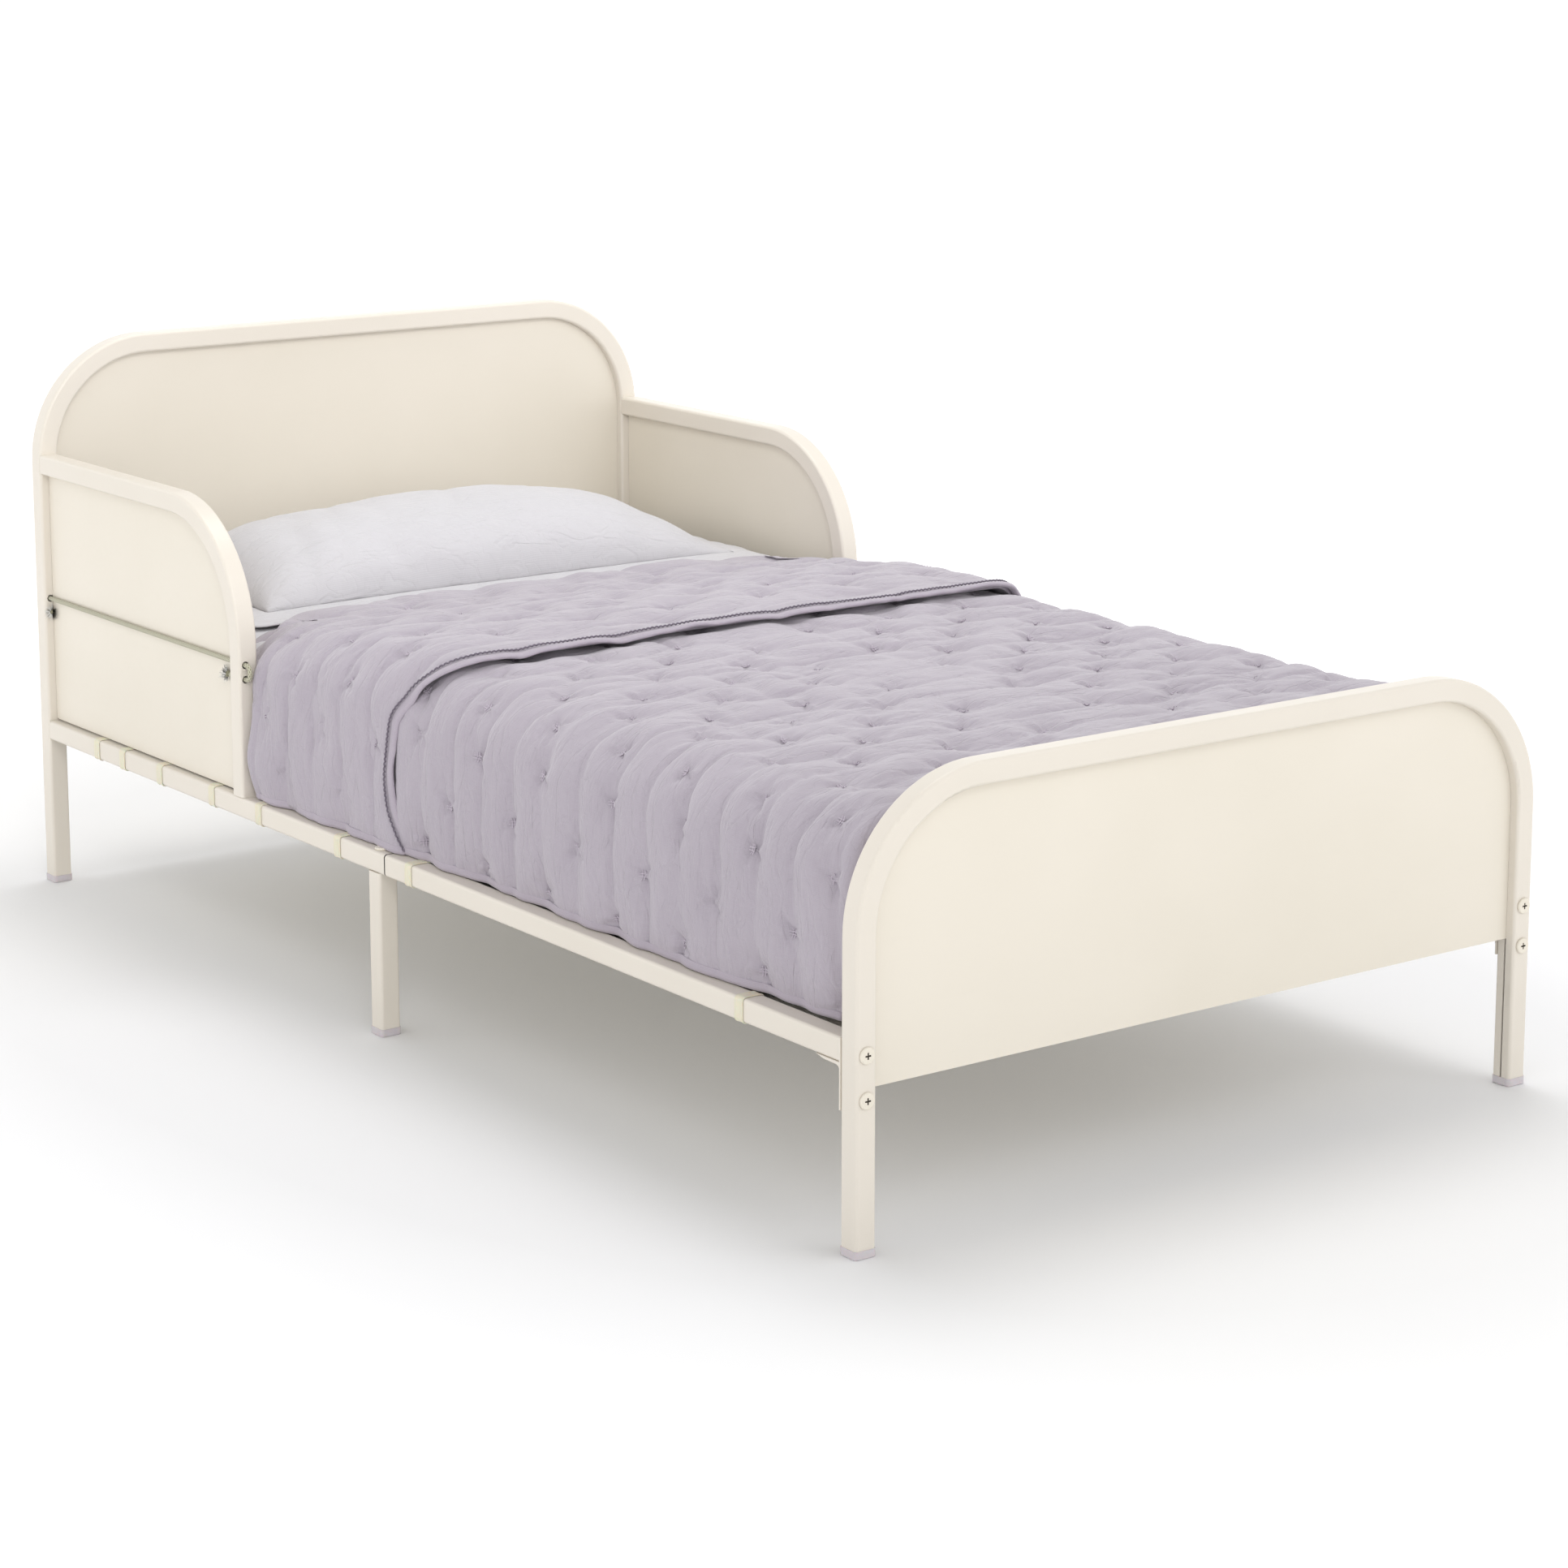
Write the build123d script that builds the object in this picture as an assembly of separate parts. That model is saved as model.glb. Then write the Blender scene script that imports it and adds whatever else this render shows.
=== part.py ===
from build123d import *
import math
import os

# Toddler bed: bent steel tube end frames with sheet infill, two guard rails, a slatted base, and
# bedding that lifts off. Millimetres, +Z up, +Y towards the headboard, +X to the right-hand side.
# The origin is on the floor under the middle of the bed.

# --- overall sizes -----------------------------------------------------------------------------
bed_width = 740.0
bed_length = 1400.0
headboard_height = 570.0
footboard_height = 378.0
guard_height = 453.0
end_frame_radius = 125.0
guard_radius = 135.0
guard_post_face_y = 264.0

# --- steel tube and sheet ----------------------------------------------------------------------
tube = 20.0
tube_wall = 1.5
tube_corner = 3.0
sheet = 1.5
groove_width = 1.8
groove_reach = 1.2
headboard_panel_bottom = 154.0
footboard_panel_bottom = 133.0

# --- side rails --------------------------------------------------------------------------------
rail_bottom = 154.0
rail_top = rail_bottom + tube
rail_joint_gap = 1.5
bracket_plate = 1.5
bracket_bottom = 116.0
bracket_flare = ((30, 0), (27, 0.4), (23, 1.4), (19, 2.0), (4, 2.3), (1.2, 3.2), (0, 5.0))
sleeve_length = 120.0
sleeve_clearance = 0.3

# --- bolts and nuts ----------------------------------------------------------------------------
bolt_r = 3.0
bolt_hole_r = 3.3
bolt_head_r = 7.0
bolt_head_height = 2.2
bolt_heights = {"head": (163.0,), "foot": (163.0, 127.0)}
bolt_seat_chamfer = 0.5
nut_across_flats = 10.0
nut_height = 5.0
cross_recess_length = 5.6
cross_recess_width = 1.4
cross_recess_depth = 1.6

# --- legs and feet -----------------------------------------------------------------------------
cap_wall = 0.7
cap_height = 7.0
cap_floor = 2.5
cap_base_chamfer = 0.6
mid_leg_y = 20.0
mid_leg_plate = 3.0

# --- mattress base -----------------------------------------------------------------------------
slat_count = 5
slat_pitch = 265.0
slat_width = 25.0
slat_height = 12.0
slat_bottom = rail_bottom + 0.5
base_fabric_thickness = 2.0
base_fabric_length = 1290.0
loop_positions = (570.0, 514.0, 434.0, 326.0, 233.0, 84.0, -42.0, -548.0)
loop_width = 11.0
loop_thickness = 1.0
loop_clearance = 0.2

# --- guard cords -------------------------------------------------------------------------------
cord_d = 4.6
cord_hole_r = 3.6
cord_high_z = 303.0
cord_low_z = 289.0
cord_loop_reach = 2.0
cord_knot_r = 4.2
cord_tuft_r = 7.0
cord_tuft_height = 4.0
cord_knot_height = 5.0
cord_gap = 0.2
cord_tail = 10.0
turn_margin = 0.05

# --- bedding -----------------------------------------------------------------------------------
mattress_width = 672.0
mattress_length = 1322.0
mattress_centre_y = 4.0
mattress_height = 144.0
mattress_edge_r = 22.0
fitted_sheet_thickness = 1.8
quilt_bottom = 177.0
quilt_top = 341.0
quilt_band_top = 355.0
quilt_band_foot_y = -45.0
quilt_band_head_y = 336.0
quilt_half_width = 356.0
quilt_narrow_half_width = 347.5
quilt_foot_y = -675.0
quilt_edge_r = 28.0
pillow_width = 628.0
pillow_depth = 328.0
pillow_height = 79.0
pillow_centre = (8.0, 509.0)
pillow_edge_r = 34.0
rest_gap = 0.4
panel_gap = 0.4
guard_panel_gap = 1.8

# --- places worked out from the sizes above ----------------------------------------------------
side_x = (bed_width - tube) / 2
end_y = (bed_length - tube) / 2
post_face_y = bed_length / 2 - tube
guard_post_y = guard_post_face_y + tube / 2
base_fabric_bottom = slat_bottom + slat_height + 0.5
base_fabric_top = base_fabric_bottom + base_fabric_thickness
mattress_bottom = base_fabric_top + rest_gap
mattress_top = mattress_bottom + mattress_height
fitted_sheet_top = mattress_top + fitted_sheet_thickness
cord_x = side_x + sheet / 2 + cord_d / 2 + cord_gap
sides = {"left": -1, "right": 1}
ends = {"head": 1, "foot": -1}

parts = {}


def box(x_range, y_range, z_range):
    """A block between the two ends of each range."""
    size = [high - low for low, high in (x_range, y_range, z_range)]
    middle = [(high + low) / 2 for low, high in (x_range, y_range, z_range)]
    return Pos(*middle) * Box(*size)


def rod(start, direction, radius, length):
    """A round bar from start along direction."""
    return extrude(Plane(origin=start, z_dir=direction) * Circle(radius), amount=length)


def straight_tube(start, direction, x_dir, length, size=tube, wall=tube_wall, corner=tube_corner):
    """A straight square tube with rounded corners."""
    plane = Plane(origin=start, x_dir=x_dir, z_dir=direction)
    outer = RectangleRounded(size, size, corner)
    inner = RectangleRounded(size - 2 * wall, size - 2 * wall, corner - wall)
    return extrude(plane * (outer - inner), amount=length)


def bent_tube(points, radius, inward):
    """A square tube bent along points, with the panel groove open on the side that faces inward."""
    path = FilletPolyline(*points, radius=radius)
    plane = Plane(origin=path @ 0, x_dir=inward, z_dir=path % 0)
    outer = sweep(plane * RectangleRounded(tube, tube, tube_corner), path=path)
    hollow = tube - 2 * tube_wall
    inner = sweep(plane * RectangleRounded(hollow, hollow, tube_corner - tube_wall), path=path)
    groove_section = plane * Pos(tube / 2, 0) * Rectangle(2 * tube_wall + 1, groove_width)
    groove = sweep(groove_section, path=path)
    return outer - inner - groove


def end_frame(end, height):
    """An inverted U of tube, standing on the floor caps, with its bolt and cord holes."""
    y = ends[end] * end_y
    top = height - tube / 2
    points = [(-side_x, y, cap_floor), (-side_x, y, top), (side_x, y, top), (side_x, y, cap_floor)]
    frame = bent_tube(points, end_frame_radius - tube / 2, (1, 0, 0))
    for side in sides.values():
        for z in bolt_heights[end]:
            frame -= rod((side * side_x, y - tube, z), (0, 1, 0), bolt_hole_r, 2 * tube)
        if end == "head":
            for z in (cord_high_z, cord_low_z):
                start = (side * cord_x, post_face_y - 1, z)
                frame -= rod(start, (0, 1, 0), cord_hole_r, tube_wall + 2)
    return frame


def end_panel(end, height, bottom):
    """The sheet that fills an end frame, let into the tube's groove."""
    half = bed_width / 2 - tube + groove_reach
    top = height - tube + groove_reach
    radius = end_frame_radius - tube + groove_reach
    plane = Plane(origin=(0, ends[end] * end_y, 0), x_dir=(1, 0, 0), z_dir=(0, -1, 0))
    outline = Rectangle(2 * half, top - bottom, align=(Align.CENTER, Align.MIN))
    upper = outline.vertices().sort_by(Axis.Y)[-2:]
    face = Pos(0, bottom) * fillet(upper, radius)
    return extrude(plane * face, amount=sheet / 2, both=True)


def guard_frame(side):
    """The guard tube: level from the headboard post, bent down to stand on the side rail."""
    x = sides[side] * side_x
    top = guard_height - tube / 2
    points = [(x, post_face_y, top), (x, guard_post_y, top), (x, guard_post_y, rail_top)]
    frame = bent_tube(points, guard_radius - tube / 2, (0, 0, -1))
    for z in (cord_high_z, cord_low_z):
        start = (sides[side] * cord_x, guard_post_face_y - 1, z)
        frame -= rod(start, (0, 1, 0), cord_hole_r, tube + 2)
    return frame


def guard_panel(side):
    """The sheet that fills a guard, just clear of the rail below it."""
    x = sides[side] * side_x
    front = guard_post_face_y + tube - groove_reach
    top = guard_height - tube + groove_reach
    radius = guard_radius - tube + groove_reach
    back = post_face_y - panel_gap
    bottom = rail_top + guard_panel_gap
    corners = ((front, bottom), (front, top), (back, top), (back, bottom))
    outline = make_face(Polyline(*corners, close=True))
    upper_front = outline.vertices().sort_by_distance((front, top, 0))[0]
    plane = Plane(origin=(x, 0, 0), x_dir=(0, 1, 0), z_dir=(1, 0, 0))
    return extrude(plane * fillet(upper_front, radius), amount=sheet / 2, both=True)


def rail_half(side, end):
    """Half of a side rail, from the joint at the middle to its end bracket."""
    x = sides[side] * side_x
    direction = ends[end]
    start = (x, direction * rail_joint_gap / 2, rail_bottom + tube / 2)
    length = post_face_y - bracket_plate - rail_joint_gap / 2
    rail = straight_tube(start, (0, direction, 0), (1, 0, 0), length)
    if end == "head":
        rail -= rod((x, mid_leg_y, rail_bottom - 1), (0, 0, 1), bolt_hole_r, tube + 2)
    return rail


def rail_bracket(side, end):
    """The plate that closes a rail; at the foot it runs down the post, with a flare under the rail."""
    x = sides[side] * side_x
    y = ends[end]
    inner = post_face_y - bracket_plate
    bottom = bracket_bottom if end == "foot" else rail_bottom
    profile = [
        (y * inner, bottom),
        (y * post_face_y, bottom),
        (y * post_face_y, rail_top),
        (y * inner, rail_top),
    ]
    if end == "foot":
        profile += [(y * inner, rail_bottom)]
        profile += [(y * (inner - reach), rail_bottom - drop) for reach, drop in bracket_flare]
    plane = Plane(origin=(x, 0, 0), x_dir=(0, 1, 0), z_dir=(1, 0, 0))
    outline = make_face(Polyline(*profile, close=True))
    bracket = extrude(plane * outline, amount=tube / 2, both=True)
    for z in bolt_heights[end]:
        bracket -= rod((x, y * (inner - 60), z), (0, y, 0), bolt_hole_r, 80)
    return bracket


def joint_sleeve(side):
    """The square sleeve inside a rail that lines up its two halves."""
    x = sides[side] * side_x
    size = tube - 2 * tube_wall - 2 * sleeve_clearance
    start = (x, -sleeve_length / 2, rail_bottom + tube / 2)
    sleeve = straight_tube(start, (0, 1, 0), (1, 0, 0), sleeve_length, size, tube_wall, 1.6)
    return sleeve - rod((x, mid_leg_y, rail_bottom), (0, 0, 1), bolt_hole_r, tube)


def mid_leg(side):
    """The leg under the middle of a rail, closed on top by the plate that its bolt goes through."""
    x = sides[side] * side_x
    length = rail_bottom - cap_floor
    leg = straight_tube((x, mid_leg_y, cap_floor), (0, 0, 1), (1, 0, 0), length)
    inside = tube - 2 * tube_wall
    plate = Pos(x, mid_leg_y, rail_bottom - mid_leg_plate / 2) * Box(inside, inside, mid_leg_plate)
    return leg + plate - rod((x, mid_leg_y, rail_bottom - tube / 2), (0, 0, 1), bolt_hole_r, tube)


def foot_cap(x, y):
    """A moulded cup that a leg stands in."""
    size = tube + 2 * cap_wall
    section = Pos(x, y, 0) * RectangleRounded(size, size, tube_corner + cap_wall)
    outer = extrude(section, amount=cap_height)
    rim = outer.edges().group_by(Axis.Z)[-1]
    outer = fillet(rim, cap_wall / 2)
    base = outer.edges().group_by(Axis.Z)[0]
    outer = chamfer(base, cap_base_chamfer)
    socket = Pos(x, y, cap_floor) * RectangleRounded(tube, tube, tube_corner)
    return outer - extrude(socket, amount=cap_height)


def bolt(head_face, direction, length):
    """A round-headed bolt with a cross recess; direction points from its head along its shank."""
    seat = Plane(origin=head_face, z_dir=direction)
    head = extrude(seat * Circle(bolt_head_r), amount=-bolt_head_height)
    crown = head.faces().sort_by(Axis(head_face, direction))[0]
    head = fillet(crown.edges(), bolt_head_height * 0.6)
    rim = head.edges().sort_by(Axis(head_face, direction))[-1]
    head = chamfer(rim, bolt_seat_chamfer)
    shank = extrude(seat * Circle(bolt_r), amount=length)
    outside = Plane(origin=seat.origin - seat.z_dir * bolt_head_height, z_dir=direction)
    cross = Rectangle(cross_recess_length, cross_recess_width)
    cross += Rectangle(cross_recess_width, cross_recess_length)
    return head + shank - extrude(outside * cross, amount=cross_recess_depth)


def end_bolts(end):
    """The bolts that hold an end frame to the side rails."""
    y = ends[end]
    length = tube + bracket_plate + nut_height + 2
    bolts = []
    for side in sides.values():
        for z in bolt_heights[end]:
            bolts.append(bolt((side * side_x, y * bed_length / 2, z), (0, -y, 0), length))
    return bolts


def hex_nut(seat_point, direction):
    """A plain hexagon nut standing on seat_point."""
    plane = Plane(origin=seat_point, z_dir=direction)
    radius = nut_across_flats / math.sqrt(3)
    section = RegularPolygon(radius, 6) - Circle(bolt_r + 0.05)
    return extrude(plane * section, amount=nut_height)


def bracket_nuts():
    """The nuts welded behind the four end brackets."""
    nuts = []
    for side in sides.values():
        for end, direction in ends.items():
            for z in bolt_heights[end]:
                seat = (side * side_x, direction * (post_face_y - bracket_plate), z)
                nuts.append(hex_nut(seat, (0, -direction, 0)))
    return nuts


def mid_leg_bolts():
    """The bolts that go down through the rails into the mid legs."""
    length = tube + mid_leg_plate + nut_height + 2
    seats = [(side * side_x, mid_leg_y, rail_top) for side in sides.values()]
    return [bolt(seat, (0, 0, -1), length) for seat in seats]


def mid_leg_nuts():
    """The nuts welded under the mid legs' top plates."""
    seat_z = rail_bottom - mid_leg_plate
    return [hex_nut((side * side_x, mid_leg_y, seat_z), (0, 0, -1)) for side in sides.values()]


def rail_loops(side):
    """The narrow loops round a side rail that carry the base fabric's edge."""
    inner = tube + 2 * loop_clearance
    outer = inner + 2 * loop_thickness
    corner = tube_corner + loop_clearance
    section = RectangleRounded(outer, outer, corner + loop_thickness)
    section -= RectangleRounded(inner, inner, corner)
    loops = []
    for y in loop_positions:
        origin = (sides[side] * side_x, y, rail_bottom + tube / 2)
        plane = Plane(origin=origin, x_dir=(1, 0, 0), z_dir=(0, 1, 0))
        loops.append(extrude(plane * section, amount=loop_width / 2, both=True))
    return loops


def cross_slat(number):
    """A flat tube that spans the rails under the base fabric; the middle one ties the mid legs."""
    y = mid_leg_y + (number - (slat_count - 1) / 2) * slat_pitch
    start = (-side_x + tube / 2, y, slat_bottom + slat_height / 2)
    plane = Plane(origin=start, x_dir=(0, 1, 0), z_dir=(1, 0, 0))
    outer = RectangleRounded(slat_width, slat_height, 2)
    inner = RectangleRounded(slat_width - 2 * tube_wall, slat_height - 2 * tube_wall, 0.8)
    return extrude(plane * (outer - inner), amount=bed_width - 2 * tube)


def base_fabric():
    """The sheet of fabric that the mattress lies on."""
    half = side_x - tube / 2 - loop_clearance - loop_thickness
    half_length = base_fabric_length / 2
    return box((-half, half), (-half_length, half_length), (base_fabric_bottom, base_fabric_top))


def guard_cord(side):
    """The elastic cord: it turns inside the headboard post and loops over the guard post."""
    x = sides[side] * cord_x
    turn = (cord_high_z - cord_low_z) / 2 - turn_margin
    inside = post_face_y + turn + cord_loop_reach
    outside = guard_post_face_y - turn - cord_loop_reach
    knot_back = post_face_y
    knot_front = guard_post_face_y + tube + cord_tail
    route = [
        (x, knot_back, cord_low_z),
        (x, inside, cord_low_z),
        (x, inside, cord_high_z),
        (x, outside, cord_high_z),
        (x, outside, cord_low_z),
        (x, knot_front, cord_low_z),
    ]
    path = FilletPolyline(*route, radius=turn)
    section = Plane(origin=path @ 0, z_dir=path % 0) * Circle(cord_d / 2)
    length = path.length
    cord = sweep(section, path=path)
    expected = math.pi * (cord_d / 2) ** 2 * length
    print(side, "cord length", round(length, 1), "turn radius", round(turn, 2), "volume ratio",
          round(cord.volume / expected, 4))
    return cord


def cord_ends(side):
    """The knotted, frayed ends of a guard cord, cut flat where they lie along the panel."""
    x = sides[side] * cord_x
    panel_clearance = cord_d / 2
    solids = []
    guard_end_y = guard_post_face_y + tube + cord_tail
    for y, direction in ((post_face_y, -1), (guard_end_y, 1)):
        tuft = rod((x, y, cord_low_z), (0, direction, 0), cord_tuft_r, cord_tuft_height)
        knot_y = y + direction * cord_tuft_height
        knot = rod((x, knot_y, cord_low_z), (0, direction, 0), cord_knot_r, cord_knot_height)
        inner_x = sides[side] * (cord_x - panel_clearance)
        behind = sorted((inner_x, inner_x - sides[side] * 20))
        panel_side = box(behind, (y - 20, y + 20), (cord_low_z - 20, cord_low_z + 20))
        solids.append(tuft + knot - panel_side)
    return solids


def rounded_block(width, y_range, z_range, radius):
    """A soft block, rounded on all its edges."""
    block = box((-width / 2, width / 2), y_range, z_range)
    return fillet(block.edges(), radius)


def mattress_y_range(grow):
    half = mattress_length / 2 + grow
    return (mattress_centre_y - half, mattress_centre_y + half)


def mattress():
    """The mattress, rounded on its edges."""
    z_range = (mattress_bottom, mattress_top)
    return rounded_block(mattress_width, mattress_y_range(0), z_range, mattress_edge_r)


def fitted_sheet(mattress_solid):
    """The fitted sheet: a skin on the mattress's top and sides, open below."""
    grow = fitted_sheet_thickness
    z_range = (mattress_bottom - 2 * mattress_edge_r, fitted_sheet_top)
    width = mattress_width + 2 * grow
    skin = rounded_block(width, mattress_y_range(grow), z_range, mattress_edge_r + grow)
    below = mattress_bottom + mattress_edge_r
    skin -= box((-width, width), (-bed_length, bed_length), (-bed_length, below))
    return skin - mattress_solid


def quilt_span(half_width, top, y_range):
    """A length of the quilt's outer shape, rounded over the mattress's long edges."""
    outline = Rectangle(2 * half_width, top - quilt_bottom, align=(Align.CENTER, Align.MIN))
    upper = outline.vertices().sort_by(Axis.Y)[-2:]
    face = Pos(0, quilt_bottom) * fillet(upper, quilt_edge_r)
    low_y, high_y = y_range
    plane = Plane(origin=(0, high_y, 0), x_dir=(1, 0, 0), z_dir=(0, -1, 0))
    return extrude(plane * face, amount=high_y - low_y)


def quilt():
    """The quilt: a cap over the mattress, hanging to the rails, with its turned-down band at the head."""
    wide_end = guard_post_face_y - 6
    solid = quilt_span(quilt_half_width, quilt_top, (quilt_foot_y, quilt_band_foot_y))
    solid += quilt_span(quilt_half_width, quilt_band_top, (quilt_band_foot_y, wide_end))
    solid += quilt_span(quilt_narrow_half_width, quilt_band_top, (wide_end, quilt_band_head_y))
    inner_x = mattress_width / 2 + fitted_sheet_thickness + rest_gap
    low_y, high_y = mattress_y_range(fitted_sheet_thickness + rest_gap)
    inner_top = fitted_sheet_top + rest_gap
    return solid - box((-inner_x, inner_x), (low_y, bed_length), (0, inner_top))


def pillow():
    """The pillow in its case, lying on the mattress against the headboard."""
    bottom = fitted_sheet_top + rest_gap
    x, y = pillow_centre
    y_range = (y - pillow_depth / 2, y + pillow_depth / 2)
    z_range = (bottom, bottom + pillow_height)
    return Pos(x, 0, 0) * rounded_block(pillow_width, y_range, z_range, pillow_edge_r)


parts["headboard_frame"] = end_frame("head", headboard_height)
parts["headboard_panel"] = end_panel("head", headboard_height, headboard_panel_bottom)
parts["footboard_frame"] = end_frame("foot", footboard_height)
parts["footboard_panel"] = end_panel("foot", footboard_height, footboard_panel_bottom)
for side_name in sides:
    parts[f"{side_name}_guard_frame"] = guard_frame(side_name)
    parts[f"{side_name}_guard_panel"] = guard_panel(side_name)
    parts[f"{side_name}_guard_cord"] = guard_cord(side_name)
    parts[f"{side_name}_cord_ends"] = cord_ends(side_name)
    parts[f"{side_name}_joint_sleeve"] = joint_sleeve(side_name)
    parts[f"{side_name}_mid_leg"] = mid_leg(side_name)
    parts[f"{side_name}_mid_foot_cap"] = foot_cap(sides[side_name] * side_x, mid_leg_y)
    parts[f"{side_name}_rail_loops"] = rail_loops(side_name)
    for end_name in ends:
        parts[f"{side_name}_{end_name}_rail"] = rail_half(side_name, end_name)
        parts[f"{side_name}_{end_name}_rail_bracket"] = rail_bracket(side_name, end_name)
        cap_place = (sides[side_name] * side_x, ends[end_name] * end_y)
        parts[f"{side_name}_{end_name}_foot_cap"] = foot_cap(*cap_place)
parts["headboard_bolts"] = end_bolts("head")
parts["footboard_bolts"] = end_bolts("foot")
parts["mid_leg_bolts"] = mid_leg_bolts()
parts["bracket_nuts"] = bracket_nuts()
parts["mid_leg_nuts"] = mid_leg_nuts()
for slat_number in range(slat_count):
    parts[f"cross_slat_{slat_number + 1}"] = cross_slat(slat_number)
parts["base_fabric"] = base_fabric()
parts["mattress"] = mattress()
parts["fitted_sheet"] = fitted_sheet(parts["mattress"])
parts["quilt"] = quilt()
parts["pillow"] = pillow()

os.makedirs("parts", exist_ok=True)
for node_name, shape in parts.items():
    if isinstance(shape, list):
        shape = Compound(children=shape)
    export_step(shape, f"parts/{node_name}.step")
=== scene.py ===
import math
import random

import bmesh
import bpy
import numpy as np
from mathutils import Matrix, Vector, noise


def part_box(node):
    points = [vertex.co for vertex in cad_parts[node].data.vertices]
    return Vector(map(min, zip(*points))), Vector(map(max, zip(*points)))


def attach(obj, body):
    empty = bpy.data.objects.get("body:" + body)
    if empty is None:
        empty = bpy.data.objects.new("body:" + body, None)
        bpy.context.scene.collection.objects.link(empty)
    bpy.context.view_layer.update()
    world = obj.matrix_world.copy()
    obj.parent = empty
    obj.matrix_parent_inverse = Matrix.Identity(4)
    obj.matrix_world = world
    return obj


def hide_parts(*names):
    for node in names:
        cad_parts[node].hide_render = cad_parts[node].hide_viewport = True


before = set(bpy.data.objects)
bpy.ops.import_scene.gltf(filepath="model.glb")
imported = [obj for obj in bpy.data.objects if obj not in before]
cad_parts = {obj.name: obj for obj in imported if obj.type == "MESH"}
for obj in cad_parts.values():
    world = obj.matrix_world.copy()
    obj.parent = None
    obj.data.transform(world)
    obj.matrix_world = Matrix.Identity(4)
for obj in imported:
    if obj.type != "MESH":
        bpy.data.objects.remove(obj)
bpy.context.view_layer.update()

# Toddler bed: steel tube frame kept from the CAD, bedding and cords built here. Metres, +Z up,
# +Y towards the headboard, +X to the right-hand side.

scene = bpy.context.scene
random.seed(7)

# --- sizes of the soft pieces ------------------------------------------------------------------
GRID = 0.006
TUFT_PITCH = 0.101
TUFT_ROW = 0.0485
TUFT_DEPTH = 0.0016
THREAD_RADIUS = 0.00042
QUILT_ROWS = ((0.014, -0.044), (0.060, -0.089), (0.113, -0.139), (0.156, -0.128))
BAND_ROWS = ((0.038, 0.090), (0.090, 0.030), (0.140, 0.084))
HEAD_SINK = 0.024
QUILT_HALF = 0.354
QUILT_TOP = 0.343
QUILT_EDGE = 0.058
QUILT_HEM_Z = 0.1775
QUILT_FOOT_Y = -0.672
QUILT_HEAD_Y = 0.322
QUILT_FILL = 0.005
QUILT_TURN = 0.020
BAND_HALF = 0.3585
BAND_TOP = 0.3535
BAND_HEM_Y = -0.045
BAND_HEAD_Y = 0.340
BAND_FILL = 0.004
RAIL_TOP = 0.174
GUARD_POST = (0.264, 0.284)
GUARD_POST_INNER = 0.350
SHEET_TOP = 0.3152
PILLOW_CENTRE = (0.008, 0.509)
PILLOW_BODY = (0.560, 0.260)
PILLOW_FLANGE = 0.034
PILLOW_CREST = 0.396


# --- mesh helpers ------------------------------------------------------------------------------
def link(obj):
    scene.collection.objects.link(obj)
    return obj


def mesh_piece(name, points, faces, uvs=None):
    """A mesh object from points and faces, with an optional UV per point."""
    mesh = bpy.data.meshes.new(name)
    mesh.from_pydata([tuple(map(float, p)) for p in points], [], [tuple(map(int, f)) for f in faces])
    if uvs is not None:
        layer = mesh.uv_layers.new(name="cloth")
        corners = np.empty(len(mesh.loops), dtype=np.int32)
        mesh.loops.foreach_get("vertex_index", corners)
        layer.data.foreach_set("uv", np.asarray(uvs, dtype=np.float32)[corners].ravel())
    mesh.polygons.foreach_set("use_smooth", [True] * len(mesh.polygons))
    return link(bpy.data.objects.new(name, mesh))


def grid_faces(rows, cols, start=0, flip=False, wrap=False):
    """Quads of a rows by cols grid of points numbered row by row."""
    faces = []
    last = cols if wrap else cols - 1
    for i in range(rows - 1):
        for j in range(last):
            a = start + i * cols + j
            b = start + i * cols + (j + 1) % cols
            quad = (a, b, b + cols, a + cols)
            faces.append(quad[::-1] if flip else quad)
    return faces


def get_points(mesh):
    flat = np.empty(len(mesh.vertices) * 3, dtype=np.float64)
    mesh.vertices.foreach_get("co", flat)
    return flat.reshape(-1, 3)


def set_points(mesh, points):
    mesh.vertices.foreach_set("co", np.asarray(points, dtype=np.float64).ravel())
    mesh.update()


def get_normals(mesh):
    flat = np.empty(len(mesh.vertices) * 3, dtype=np.float64)
    mesh.vertices.foreach_get("normal", flat)
    return flat.reshape(-1, 3)


def subdivide(obj):
    modifier = obj.modifiers.new("Subdivision", "SUBSURF")
    modifier.levels = 1
    modifier.render_levels = 1


def face_outward(piece, caps=()):
    """Closes the piece with the given caps of point numbers and turns every face outward."""
    mesh = bmesh.new()
    mesh.from_mesh(piece.data)
    mesh.verts.ensure_lookup_table()
    for cap in caps:
        mesh.faces.new([mesh.verts[i] for i in cap])
    bmesh.ops.recalc_face_normals(mesh, faces=mesh.faces)
    mesh.to_mesh(piece.data)
    mesh.free()
    piece.data.polygons.foreach_set("use_smooth", [True] * len(piece.data.polygons))


def border_ring(index):
    """The numbers round the edge of a grid, in order."""
    return list(index[0, :]) + list(index[1:, -1]) + list(index[-1, -2::-1]) + list(index[-2:0:-1, 0])


def smoothstep(low, high, value):
    t = np.clip((value - low) / (high - low), 0, 1)
    return t * t * (3 - 2 * t)


def bump_at(value, centre, width):
    return np.exp(-((value - centre) / width) ** 2)


def noise_field(points, scale, seed):
    """Smooth seeded noise at each point, from about -1 to 1."""
    offset = Vector((seed * 7.31, seed * 3.17, seed * 5.73))
    return np.array([noise.noise(Vector(p) * scale + offset) for p in points])


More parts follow.
